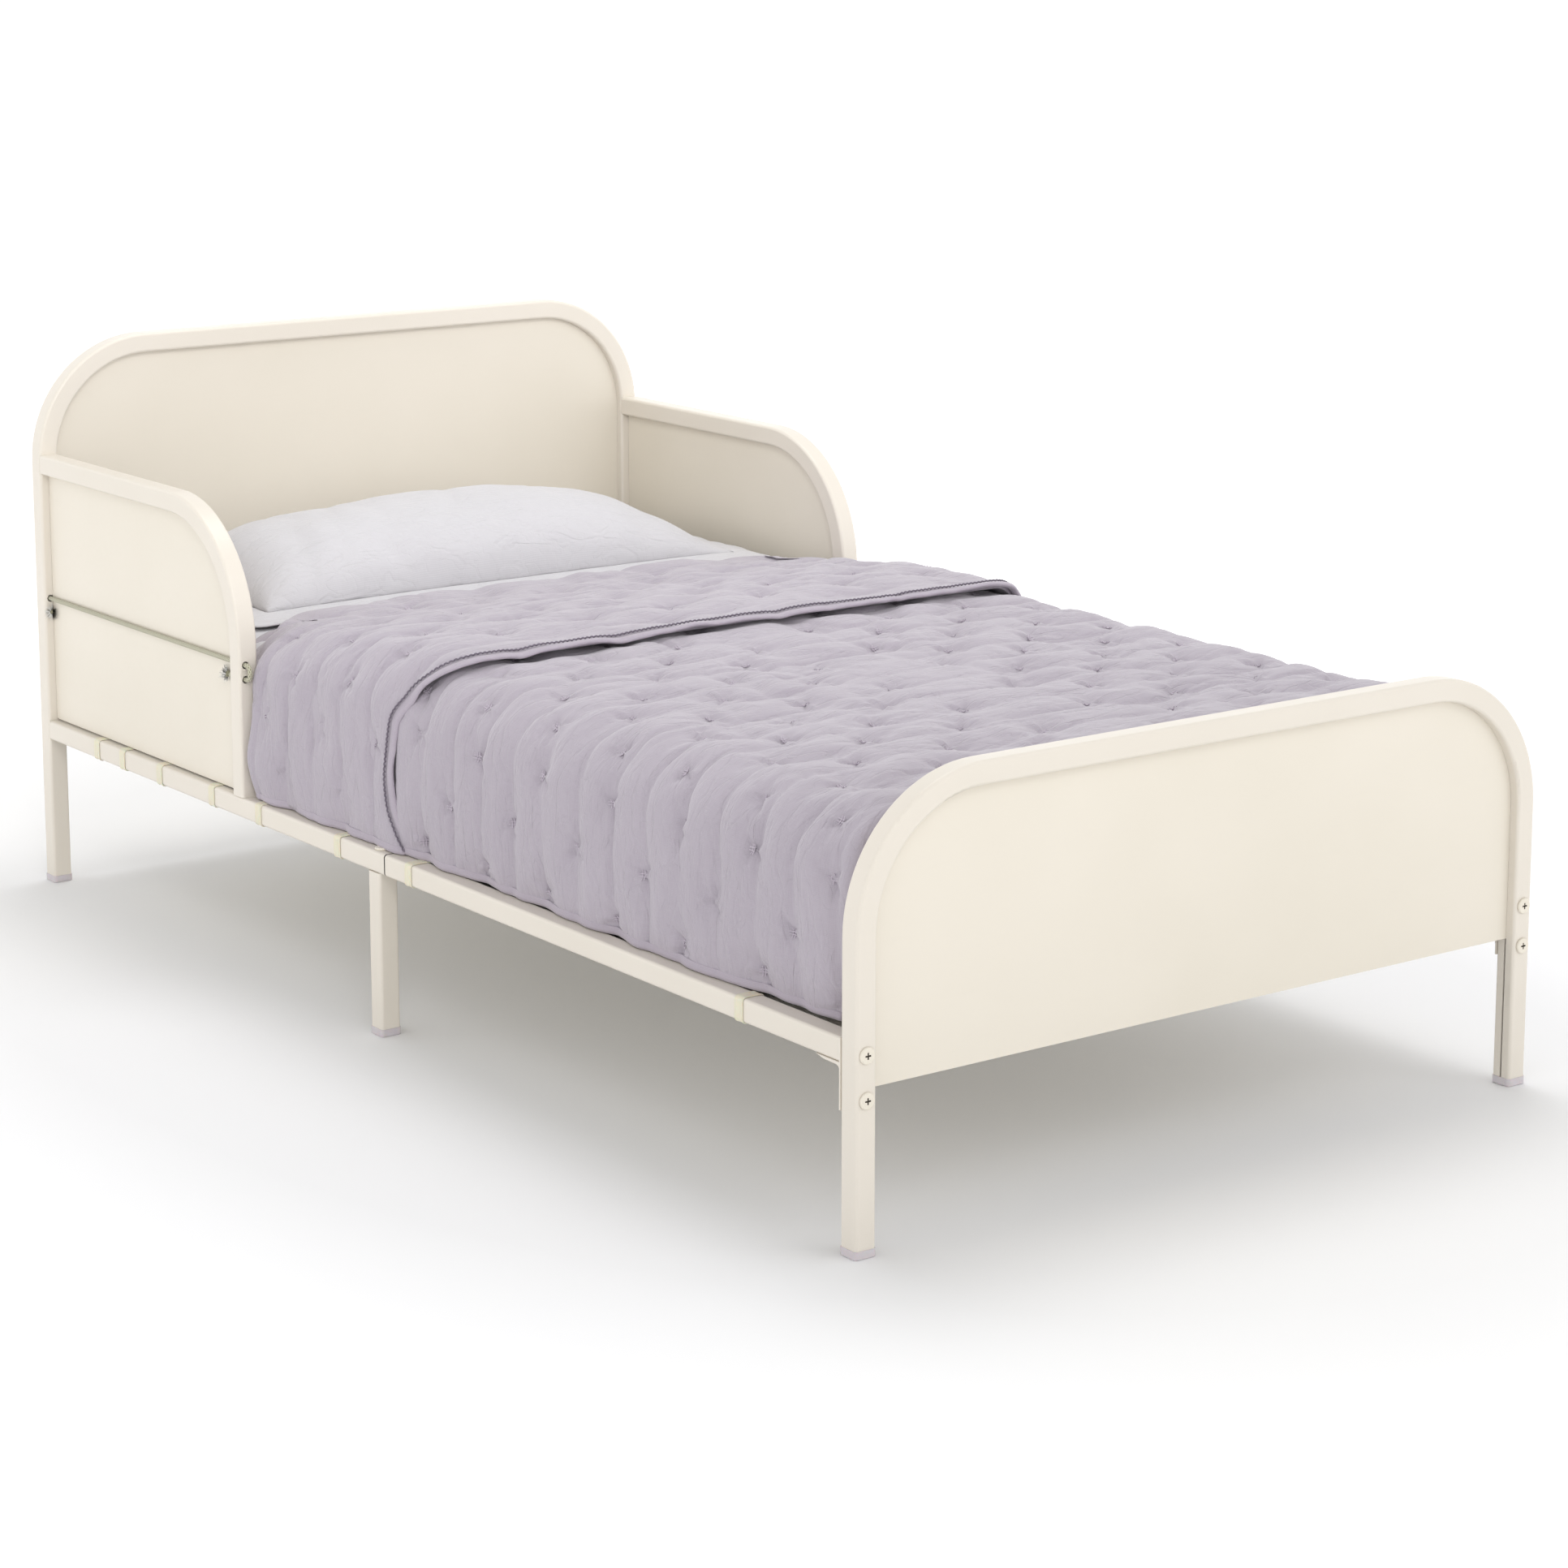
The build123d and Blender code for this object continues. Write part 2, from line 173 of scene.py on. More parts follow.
# --- material helpers --------------------------------------------------------------------------
def srgb(r, g, b):
    """A display colour, 0 to 255, as a linear colour."""
    out = []
    for c in (r, g, b):
        c = c / 255
        out.append(c / 12.92 if c <= 0.04045 else ((c + 0.055) / 1.055) ** 2.4)
    return (*out, 1)


class Finish:
    """A procedural material; its methods add nodes and return their output sockets."""

    def __init__(self, name, **shader):
        self.material = bpy.data.materials.new(name)
        self.material.use_nodes = True
        self.tree = self.material.node_tree
        self.shader = self.tree.nodes["Principled BSDF"]
        for key, value in shader.items():
            self.shader.inputs[key.replace("_", " ")].default_value = value
        self.heights = []

    def node(self, kind, **settings):
        node = self.tree.nodes.new(kind)
        for key, value in settings.items():
            setattr(node, key, value)
        return node

    def put(self, socket, value):
        if isinstance(value, bpy.types.NodeSocket):
            self.tree.links.new(value, socket)
        else:
            socket.default_value = value

    def coords(self, uv=False, scale=(1, 1, 1), turn=0.0):
        source = self.node("ShaderNodeTexCoord")
        mapping = self.node("ShaderNodeMapping")
        mapping.inputs["Scale"].default_value = scale
        mapping.inputs["Rotation"].default_value = (0, 0, turn)
        self.tree.links.new(source.outputs["UV" if uv else "Object"], mapping.inputs["Vector"])
        return mapping.outputs["Vector"]

    def noise(self, vector, scale, detail=3.0, roughness=0.55, distortion=0.0):
        node = self.node("ShaderNodeTexNoise")
        self.put(node.inputs["Vector"], vector)
        node.inputs["Scale"].default_value = scale
        node.inputs["Detail"].default_value = detail
        node.inputs["Roughness"].default_value = roughness
        node.inputs["Distortion"].default_value = distortion
        return node.outputs["Fac"]

    def wave(self, vector, scale, direction="X", distortion=0.0):
        node = self.node("ShaderNodeTexWave", bands_direction=direction)
        self.put(node.inputs["Vector"], vector)
        node.inputs["Scale"].default_value = scale
        node.inputs["Distortion"].default_value = distortion
        node.inputs["Detail"].default_value = 1.0
        return node.outputs["Fac"]

    def cells(self, vector, scale, feature="F1"):
        node = self.node("ShaderNodeTexVoronoi", feature=feature)
        self.put(node.inputs["Vector"], vector)
        node.inputs["Scale"].default_value = scale
        return node.outputs["Distance"]

    def math(self, operation, a, b=0.0):
        node = self.node("ShaderNodeMath", operation=operation)
        self.put(node.inputs[0], a)
        self.put(node.inputs[1], b)
        return node.outputs[0]

    def spread(self, value, low, high, out_low=0.0, out_high=1.0):
        node = self.node("ShaderNodeMapRange")
        self.put(node.inputs["Value"], value)
        for name, number in zip(("From Min", "From Max", "To Min", "To Max"), (low, high, out_low, out_high)):
            node.inputs[name].default_value = number
        return node.outputs["Result"]

    def mix(self, factor, a, b, blend="MIX"):
        node = self.node("ShaderNodeMix", data_type="RGBA", blend_type=blend)
        self.put(node.inputs[0], factor)
        self.put(node.inputs[6], a)
        self.put(node.inputs[7], b)
        return node.outputs[2]

    def colour(self, value):
        self.put(self.shader.inputs["Base Color"], value)

    def roughness(self, value):
        self.put(self.shader.inputs["Roughness"], value)

    def height(self, value, distance, strength=1.0):
        """Adds a layer of bump."""
        self.heights.append((value, distance, strength))

    def done(self):
        normal = None
        for value, distance, strength in self.heights:
            bump = self.node("ShaderNodeBump")
            bump.inputs["Distance"].default_value = distance
            bump.inputs["Strength"].default_value = strength
            self.put(bump.inputs["Height"], value)
            if normal is not None:
                self.tree.links.new(normal, bump.inputs["Normal"])
            normal = bump.outputs["Normal"]
        if normal is not None:
            self.tree.links.new(normal, self.shader.inputs["Normal"])
        return self.material


def coated_steel(name, colour, shade, roughness=0.36, peel=0.00010):
    """Powder-coated steel: orange-peel texture, faint tonal drift, small scuffs and dust specks."""
    f = Finish(name, Specular_IOR_Level=0.45, Coat_Weight=0.12, Coat_Roughness=0.25)
    here = f.coords()
    drift = f.noise(here, 5.0, 2.0)
    specks = f.spread(f.cells(here, 210.0), 0.0, 0.09, 1.0, 0.0)
    scuff = f.noise(f.coords(scale=(1, 6, 9)), 26.0, 5.0, 0.6, 0.4)
    base = f.mix(f.spread(drift, 0.3, 0.7), colour, shade)
    worn = f.mix(f.spread(scuff, 0.62, 0.80, 0.0, 0.16), base, srgb(214, 208, 196))
    f.colour(f.mix(f.math("MULTIPLY", specks, 0.06), worn, srgb(170, 164, 150)))
    f.roughness(f.spread(scuff, 0.3, 0.8, roughness - 0.04, roughness + 0.12))
    f.height(f.noise(here, 620.0, 2.0), peel, 0.5)
    f.height(f.noise(here, 48.0, 2.0), 0.0004, 0.12)
    return f.done()


def cloth(name, colour, shade, thread=0.00055, sheen=0.25, roughness=0.85, uv=True, slub=0.5, crumple=0.0):
    """Woven cloth: crossed threads, slubs, faint creases and a soft sheen."""
    f = Finish(name, Sheen_Weight=sheen, Sheen_Roughness=0.5, Specular_IOR_Level=0.25)
    here = f.coords(uv=uv)
    turns = 1 / (2 * thread) * 0.318
    warp = f.wave(here, turns, "X", 0.6)
    weft = f.wave(here, turns, "Y", 0.6)
    weave = f.math("MULTIPLY", warp, weft)
    slubs = f.noise(f.coords(uv=uv, scale=(1, 9, 1)), 90.0, 3.0, 0.6)
    cross = f.noise(f.coords(uv=uv, scale=(9, 1, 1)), 90.0, 3.0, 0.6)
    drift = f.noise(here, 4.0, 3.0)
    base = f.mix(f.spread(drift, 0.3, 0.7), colour, shade)
    fleck = f.math("MULTIPLY", f.math("ADD", slubs, cross), 0.5)
    threads = f.mix(f.spread(fleck, 0.35, 0.65, 0.0, 0.10 * slub), base, srgb(255, 255, 255))
    f.colour(f.mix(f.spread(weave, 0.0, 0.5, 0.10, 0.0), threads, srgb(120, 114, 128), "MULTIPLY"))
    f.roughness(f.spread(fleck, 0.3, 0.7, roughness - 0.08, roughness + 0.08))
    f.height(f.noise(here, 28.0, 4.0, 0.55, 0.3), 0.0012, 0.25)
    f.height(fleck, 0.0003, 0.4)
    f.height(weave, thread * 0.25, 0.5)
    if crumple:
        for stretch, scale in (((0.30, 1, 1), 46.0), ((0.45, 1, 1), 95.0)):
            fold = f.noise(f.coords(uv=uv, scale=stretch), scale, 2.0, 0.5, 0.5)
            away = f.math("ABSOLUTE", f.math("SUBTRACT", fold, 0.5))
            f.height(f.spread(away, 0.0, 0.045), crumple * 46.0 / scale, 0.75)
    return f.done()


def rail_finish_with_gap_shade():
    """The rails' coat, with dark painted shade on the cut ends at the joint in the middle, for the gap's
    shadow.
    """
    f = Finish("rail_coat_painted_gap_shade_finish", Specular_IOR_Level=0.45, Coat_Weight=0.12, Coat_Roughness=0.25)
    here = f.coords()
    split = f.node("ShaderNodeSeparateXYZ")
    f.put(split.inputs[0], here)
    # painted shade: the cut ends at the joint in the middle are coloured near-black for the shadow in the gap
    gap_shade = f.math("LESS_THAN", f.math("ABSOLUTE", split.outputs["Y"]), RAIL_GAP_SHADE_Y)
    base = f.mix(f.spread(f.noise(here, 5.0, 2.0), 0.3, 0.7), FRAME_COLOUR, FRAME_SHADE)
    f.colour(f.mix(gap_shade, base, srgb(58, 54, 50)))
    scuff = f.noise(f.coords(scale=(1, 6, 9)), 26.0, 5.0, 0.6, 0.4)
    f.roughness(f.spread(scuff, 0.3, 0.8, 0.32, 0.48))
    f.height(f.noise(here, 620.0, 2.0), 0.00010, 0.5)
    f.height(f.noise(here, 48.0, 2.0), 0.0004, 0.12)
    return f.done()


def bolt_finish_with_recess_shade():
    """The end bolts' coat, with dark painted shade inside the cross recesses."""
    f = Finish("bolt_coat_finish", Specular_IOR_Level=0.45, Coat_Weight=0.12, Coat_Roughness=0.25)
    here = f.coords()
    split = f.node("ShaderNodeSeparateXYZ")
    f.put(split.inputs[0], here)
    aside = f.math("SUBTRACT", f.math("ABSOLUTE", split.outputs["X"]), POST_X)
    half_step = (BOLT_HIGH_Z - BOLT_LOW_Z) / 2
    level = f.math("ABSOLUTE", f.math("SUBTRACT", split.outputs["Z"], BOLT_LOW_Z + half_step))
    rise = f.math("SUBTRACT", level, half_step)
    away = f.math("SQRT", f.math("ADD", f.math("MULTIPLY", aside, aside), f.math("MULTIPLY", rise, rise)))
    recess_shade_area = f.math("LESS_THAN", away, RECESS_SHADE_REACH)
    sunk = f.math("LESS_THAN", f.math("ABSOLUTE", split.outputs["Y"]), BOLT_FACE_Y - 0.0002)
    base = f.mix(f.spread(f.noise(here, 60.0, 3.0), 0.3, 0.7), srgb(228, 221, 207), srgb(222, 215, 200))
    # painted shade: inside the cross recesses the coat is coloured dark brown-grey where shade falls
    f.colour(f.mix(f.math("MULTIPLY", recess_shade_area, sunk), base, srgb(84, 76, 66)))
    f.roughness(f.spread(f.noise(here, 400.0, 3.0), 0.3, 0.7, 0.28, 0.38))
    f.height(f.noise(here, 620.0, 2.0), 0.00004, 0.5)
    return f.done()


def zinc(name):
    """Bright zinc-plated steel with a faint spangle."""
    f = Finish(name, Metallic=1.0)
    here = f.coords()
    spangle = f.cells(here, 420.0)
    f.colour(f.mix(f.spread(spangle, 0.0, 0.8), srgb(196, 198, 200), srgb(160, 164, 168)))
    f.roughness(f.spread(f.noise(here, 300.0, 4.0), 0.3, 0.7, 0.28, 0.46))
    f.height(f.noise(f.coords(scale=(1, 1, 14)), 260.0, 3.0), 0.00006, 0.5)
    return f.done()


def cap_plastic():
    """Translucent moulded plastic with a fine spark-eroded grain."""
    f = Finish("cap_plastic_finish", Specular_IOR_Level=0.35, IOR=1.49, Subsurface_Weight=0.2,
               Subsurface_Scale=0.003)
    here = f.coords()
    f.colour(f.mix(f.spread(f.noise(here, 40.0, 3.0), 0.3, 0.7), srgb(206, 199, 202), srgb(199, 191, 195)))
    f.roughness(f.spread(f.noise(here, 500.0, 2.0), 0.3, 0.7, 0.34, 0.5))
    f.height(f.noise(here, 900.0, 2.0), 0.00008, 0.6)
    f.height(f.wave(here, 160.0, "Z"), 0.00006, 0.3)
    return f.done()


POST_X = 0.360
BOLT_HIGH_Z = 0.163
BOLT_LOW_Z = 0.127
BOLT_FACE_Y = 0.7022
# how far from each bolt's centre the recess shade is painted
RECESS_SHADE_REACH = 0.0031
# half-width of the band of painted shade at the rails' joint
RAIL_GAP_SHADE_Y = 0.0009
FRAME_COLOUR = srgb(222, 215, 204)
FRAME_SHADE = srgb(218, 211, 199)
frame_coat = coated_steel("frame_coat_finish", FRAME_COLOUR, FRAME_SHADE)
panel_coat = coated_steel("panel_coat_finish", srgb(224, 217, 204), srgb(220, 213, 199), 0.42, 0.00007)
bolt_coat = bolt_finish_with_recess_shade()
rail_coat = rail_finish_with_gap_shade()
slat_coat = coated_steel("slat_coat_finish", srgb(222, 215, 203), srgb(216, 209, 196), 0.45)
zinc_steel = zinc("zinc_steel_finish")
sleeve_steel = coated_steel("sleeve_phosphate_finish", srgb(42, 40, 38), srgb(34, 32, 31), 0.6)
caps = cap_plastic()
QUILT_COLOUR = srgb(172, 164, 174)
QUILT_CRUMPLE = 0.0006
quilt_cotton = cloth("quilt_cotton_finish", QUILT_COLOUR, srgb(167, 159, 169), 0.0005, 0.35,
                     crumple=QUILT_CRUMPLE)
band_cotton = cloth("quilt_band_finish", QUILT_COLOUR, srgb(168, 160, 170), 0.0005, 0.35,
                    crumple=QUILT_CRUMPLE)
binding_cotton = cloth("quilt_binding_finish", srgb(174, 165, 176), srgb(168, 159, 170), 0.0006, 0.3)
stitch_thread = cloth("quilt_stitch_finish", srgb(196, 187, 198), srgb(188, 178, 190), 0.0003, 0.2)
# a real thread, coloured dark as painted shade for the shadow along the hem's pressed-in stitch line
seam_thread_painted_shade = cloth("quilt_seam_painted_shade_finish", srgb(112, 103, 116), srgb(100, 92, 105), 0.0003, 0.2)
pillow_cotton = cloth("pillow_cotton_finish", srgb(205, 203, 206), srgb(201, 199, 202), 0.00045, 0.3,
                      crumple=0.0005)
sheet_cotton = cloth("sheet_cotton_finish", srgb(205, 204, 208), srgb(200, 199, 204), 0.00045, 0.25)
mattress_cover = cloth("mattress_cover_finish", srgb(238, 237, 234), srgb(230, 229, 226), 0.0008, 0.3)
base_cloth = cloth("base_cloth_finish", srgb(226, 221, 208), srgb(218, 213, 199), 0.0011, 0.1, 0.8, True, 1.0)

FINISHES = {
    "headboard_frame": frame_coat, "footboard_frame": frame_coat, "guard_frame": frame_coat,
    "headboard_panel": panel_coat, "footboard_panel": panel_coat, "guard_panel": panel_coat,
    "foot_rail": rail_coat, "head_rail": rail_coat, "rail_bracket": frame_coat,
    "joint_sleeve": sleeve_steel, "mid_leg": frame_coat, "foot_cap": caps, "bolts": bolt_coat,
    "nuts": zinc_steel, "cross_slat": slat_coat,
}
for node_name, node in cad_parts.items():
    for key, finish in FINISHES.items():
        if key in node_name:
            for place in node.material_slots:
                place.material = finish


# --- cloth simulation --------------------------------------------------------------------------
def settle(obj, pinned, frames, pressure, growth, cap, bending=0.4, tension=12.0):
    """Runs the cloth with pinned points fixed, then keeps its result with each move capped."""
    before = get_points(obj.data)
    if len(pinned):
        group = obj.vertex_groups.new(name="pinned")
        group.add([int(i) for i in pinned], 1.0, "REPLACE")
    modifier = obj.modifiers.new("Cloth", "CLOTH")
    s = modifier.settings
    s.quality = 6
    s.mass = 0.25
    s.tension_stiffness = tension
    s.compression_stiffness = tension
    s.shear_stiffness = tension * 0.4
    s.bending_stiffness = bending
    s.tension_damping = 8
    s.compression_damping = 8
    s.air_damping = 2
    s.use_pressure = True
    s.uniform_pressure_force = pressure
    s.shrink_min = -growth
    s.effector_weights.gravity = 0
    if len(pinned):
        s.vertex_group_mass = "pinned"
    modifier.collision_settings.use_collision = False
    modifier.point_cache.frame_start = 1
    modifier.point_cache.frame_end = frames
    for number in range(1, frames + 1):
        scene.frame_set(number)
    evaluated = obj.evaluated_get(bpy.context.evaluated_depsgraph_get())
    after = get_points(evaluated.data)
    obj.modifiers.remove(modifier)
    scene.frame_set(1)
    move = after - before
    length = np.maximum(np.linalg.norm(move, axis=1, keepdims=True), 1e-9)
    set_points(obj.data, before + move * np.minimum(1, cap / length))


# --- quilt -------------------------------------------------------------------------------------
def girth_profile(half, top, edge, hem_z, crown=0.002):
    """The quilt's section from the left hem over the bed to the right hem, evenly spaced."""
    flat = half - edge
    side = [(-half + 0.002, hem_z), (-half - 0.001, hem_z + 0.05), (-half, top - edge)]
    arc = []
    for k in range(1, 12):
        angle = math.pi - k / 12 * math.pi / 2
        arc.append((-flat + edge * math.cos(angle), top - edge + edge * math.sin(angle)))
    roof = [(x, top + crown * (1 - (x / flat) ** 2)) for x in np.linspace(-flat, 0, 24)]
    left = side + arc + roof
    right = [(-x, z) for x, z in reversed(left[:-1])]
    line = np.array(left + right)
    steps = np.hypot(*np.diff(line, axis=0).T)
    along = np.concatenate([[0], np.cumsum(steps)])
    count = int(round(along[-1] / GRID)) + 1
    even = np.linspace(0, along[-1], count)
    return np.stack([np.interp(even, along, line[:, 0]), np.interp(even, along, line[:, 1])], axis=1), even


def sink(points):
    """The quilt lies lower towards the head, where nothing puffs it up from below."""
    y, z = points[:, 1], points[:, 2]
    share = np.clip((z - QUILT_HEM_Z) / (QUILT_TOP - QUILT_HEM_Z), 0, 1)
    moved = points.copy()
    moved[:, 2] -= HEAD_SINK * smoothstep(0.03, 0.34, y) * share
    return moved


def keep_clear(points):
    """Keeps the quilt inside the guard posts and panels and above the rails."""
    x, y, z = points[:, 0].copy(), points[:, 1], points[:, 2].copy()
    side = np.sign(x)
    limit = np.full(len(x), 0.3705)
    limit = np.where(y > GUARD_POST[0] - 0.004, GUARD_POST_INNER - 0.0008, limit)
    limit = np.where((y > 0.235) & (z > 0.268), np.minimum(limit, 0.3600), limit)
    x = side * np.minimum(np.abs(x), limit)
    low = np.where(np.abs(x) > 0.3485, RAIL_TOP + 0.0022, 0.150)
    z = np.maximum(z, low)
    return np.stack([x, y, z], axis=1)


def side_shape(points, extra):
    """Bulges of the hanging sides; extra is how far the layer stands off."""
    x, y, z = points.T
    side = np.sign(x)
    low = 1 - smoothstep(0.185, 0.33, z)
    down = np.abs(x) > 0.29
    push = 0.0030 * low * noise_field(np.stack([y, z * 0.4, side], axis=1), 8.0, 3)
    push += 0.008 * bump_at(y, 0.243, 0.03) * bump_at(z, 0.214, 0.035)
    push -= 0.004 * bump_at(y, -0.66, 0.06) * low
    narrow = smoothstep(0.252, 0.266, y)
    push -= narrow * (QUILT_HALF - 0.3475 + extra)
    moved = points.copy()
    moved[:, 0] += side * push * down
    return moved


def tuft_positions(girth, y_low, y_high, first_rows):
    """(girth, y) of each tuft; first_rows are the girths and y phases of the rows on the hanging side."""
    places = []
    left = list(first_rows)
    s, phase = left[-1]
    odd = True
    while s + TUFT_ROW < girth / 2:
        s += TUFT_ROW
        left.append((s, phase + (TUFT_PITCH / 2 if odd else 0)))
        odd = not odd
    rows = left + [(girth - s, phase + TUFT_PITCH / 2) for s, phase in reversed(left)]
    for s, phase in rows:
        y = phase - TUFT_PITCH * 12
        while y < y_high - 0.02:
            if y > y_low + 0.014:
                places.append((s + random.uniform(-0.0025, 0.0025), y + random.uniform(-0.003, 0.003)))
            y += TUFT_PITCH
    return places


def relief(s, y, tufts, girth, phase):
    """Depth of the quilting below its crests: valleys along the girth, dimples and pleats at the tufts."""
    count = len(s)
    nearest = np.full(count, 1.0)
    spoke = np.zeros(count)
    pleat = np.zeros(count)
    for number, (ts, ty) in enumerate(tufts):
        ds, dy = s - ts, y - ty
        close = np.nonzero((np.abs(ds) < 0.05) & (np.abs(dy) < 0.05))[0]
        gap = np.hypot(ds[close], dy[close] * 1.15)
        better = gap < nearest[close]
        chosen = close[better]
        nearest[chosen] = gap[better]
        angle = np.arctan2(dy[chosen], ds[chosen])
        turn = number * 2.399
        bow = dy[close] + 0.0030 * np.sin(ds[close] / 0.013 + turn) + 0.05 * math.sin(turn * 3) * ds[close]
        length = 0.020 + 0.006 * math.cos(turn * 2)
        drawn = np.exp(-(ds[close] / length) ** 2) * np.exp(-(bow / 0.0038) ** 2)
        pleat[close] = np.maximum(pleat[close], drawn)
        spoke[chosen] = np.cos(4 * angle + 0.5 * math.sin(turn)) + 0.5 * np.cos(7 * angle + turn)
    flat = np.stack([s, y, np.zeros(count)], axis=1)
    wander = noise_field(flat, 9.0, 21)
    valley = np.abs(np.sin(math.pi * ((y - phase) / (TUFT_PITCH / 2) + 0.16 * wander))) ** 0.7
    edge = np.minimum(s, girth - s)
    hanging = 1 - smoothstep(0.12, 0.24, edge)
    strength = 0.0034 * hanging + 0.0031 * (1 - hanging)
    depth = strength * (1 - valley) * (0.75 + 0.5 * noise_field(flat, 16.0, 22))
    depth += TUFT_DEPTH * np.exp(-(nearest / 0.014) ** 2)
    depth += 0.0016 * (1 - hanging) * (1 - smoothstep(0.0, 0.045, nearest))
    creases = 0.0013 * spoke * np.exp(-((nearest - 0.008) / 0.011) ** 2) - 0.0026 * pleat
    off = (y - phase) / (TUFT_PITCH / 2) + 0.16 * wander
    off = (off - np.round(off)) * TUFT_PITCH / 2
    fade = 0.5 + noise_field(flat * np.array([0.8, 1, 1]), 13.0, 23)
    creases -= 0.0030 * np.exp(-(off / 0.0027) ** 2) * np.clip(fade, 0, 1) * (0.70 + 0.30 * hanging)
    bent = flat * np.array([0.36, 1.0, 1.0])
    for scale, seed, size in ((15.0, 24, 0.0020), (29.0, 25, 0.0009)):
        fold = np.abs(noise_field(bent, scale, seed))
        creases -= size * np.clip(1 - fold / 0.07, 0, 1) ** 1.5 * (1 - 0.6 * hanging)
    return depth, creases


def soften(grid, times):
    """The grid with each value averaged with its neighbours, so single held points leave no pinholes."""
    for _ in range(times):
        for axis in (0, 1):
            g = np.moveaxis(grid, axis, 0)
            inner = (g[:-2] + 2 * g[1:-1] + g[2:]) / 4
            grid = np.moveaxis(np.concatenate([g[:1], inner, g[-1:]]), 0, axis)
    return grid


def refine(grid):
    """Twice the rows and columns, with smooth in-between points."""
    for axis in (0, 1):
        g = np.moveaxis(grid, axis, 0)
        padded = np.concatenate([2 * g[:1] - g[1:2], g, 2 * g[-1:] - g[-2:-1]])
        between = (-padded[:-3] + 9 * padded[1:-2] + 9 * padded[2:-1] - padded[3:]) / 16
        out = np.empty((2 * len(g) - 1, *g.shape[1:]))
        out[0::2] = g
        out[1::2] = between
        grid = np.moveaxis(out, 0, axis)
    return grid


def grid_normals(grid):
    """Unit normals of a grid of points, facing out of the bed."""
    across = np.gradient(grid, axis=1)
    along = np.gradient(grid, axis=0)
    normal = np.cross(across, -along)
    return normal / np.maximum(np.linalg.norm(normal, axis=2, keepdims=True), 1e-9)


def quilted(name, grid, s_of, y_of, tufts, girth, phase, fill, finish):
    """Sculpts and simulates one quilted layer on its grid, then lines it and closes its edges."""
    rows, cols = s_of.shape
    s, y = s_of.ravel(), y_of.ravel()
    normals = grid_normals(grid)
    lining = grid - normals * fill
    depth, _ = relief(s, y, tufts, girth, phase)
    flat = np.stack([s, y, np.zeros(len(s))], axis=1)
    ripple = 0.0010 * noise_field(flat, 17.0, 5) + 0.0008 * noise_field(flat, 41.0, 9)
    start = grid + normals * (0.0022 - depth + ripple).reshape(rows, cols, 1)
    begin = keep_clear(start.reshape(-1, 3))
    outer = mesh_piece(name, begin, grid_faces(rows, cols))
    pinned = set()
    for ts, ty in tufts:
        gap = np.hypot(s - ts, y - ty)
        nearest = int(np.argmin(gap))
        if gap[nearest] < 0.006:
            pinned.add(nearest)
            pinned.update(int(i) for i in np.nonzero(gap < 0.0050)[0])
    index = np.arange(rows * cols).reshape(rows, cols)
    pinned |= {int(i) for i in index[0]} | {int(i) for i in index[-1]}
    outer.data.flip_normals()
    settle(outer, sorted(pinned), 16, 0.5, 0.030, 0.0032)
    moved = (get_points(outer.data) - begin).reshape(rows, cols, 3)
    settled = begin.reshape(rows, cols, 3) + soften(moved, 3)
    bpy.data.objects.remove(outer)
    fine = refine(settled)
    fine_s, fine_y = refine(s_of[..., None])[..., 0], refine(y_of[..., None])[..., 0]
    rows, cols = fine_s.shape
    _, creases = relief(fine_s.ravel(), fine_y.ravel(), tufts, girth, phase)
    flat = np.stack([fine_s.ravel(), fine_y.ravel(), np.zeros(rows * cols)], axis=1)
    stretch = flat * np.array([0.45, 1.0, 1.0])
    wrinkle = 0.0006 * noise_field(stretch, 60.0, 12) + 0.0004 * noise_field(stretch, 120.0, 13)
    normals = grid_normals(fine)
    fine = fine + normals * (creases + wrinkle).reshape(rows, cols, 1)
    fine = keep_clear(fine.reshape(-1, 3)).reshape(rows, cols, 3)
    lining = keep_clear(refine(lining).reshape(-1, 3))
    total = rows * cols
    faces = grid_faces(rows, cols, flip=True)
    faces += [tuple(total + i for i in f) for f in grid_faces(rows, cols)]
    index = np.arange(total).reshape(rows, cols)
    ring = border_ring(index)
    faces += [(a, b, b + total, a + total) for a, b in zip(ring, ring[1:] + ring[:1])]
    uvs = np.stack([fine_s.ravel(), fine_y.ravel()], axis=1)
    piece = mesh_piece(name, np.concatenate([fine.reshape(-1, 3), lining]), faces, np.concatenate([uvs, uvs]))
    piece.data.materials.append(finish)
    normals = grid_normals(fine)
    anchors = []
    for ts, ty in tufts:
        gap = np.hypot(fine_s - ts, fine_y - ty)
        i, j = np.unravel_index(np.argmin(gap), gap.shape)
        if gap[i, j] < 0.004:
            along = fine[i, min(j + 2, cols - 1)] - fine[i, max(j - 2, 0)]
            anchors.append((fine[i, j], normals[i, j], along))
    return piece, fine, anchors


def section_frame(half, top, edge, hem_z):
    """A girth section, its distances and its inward directions."""
    section, along = girth_profile(half, top, edge, hem_z)
    tangent = np.gradient(section, axis=0)
    tangent /= np.linalg.norm(tangent, axis=1, keepdims=True)
    return section, along, np.stack([tangent[:, 1], -tangent[:, 0]], axis=1)


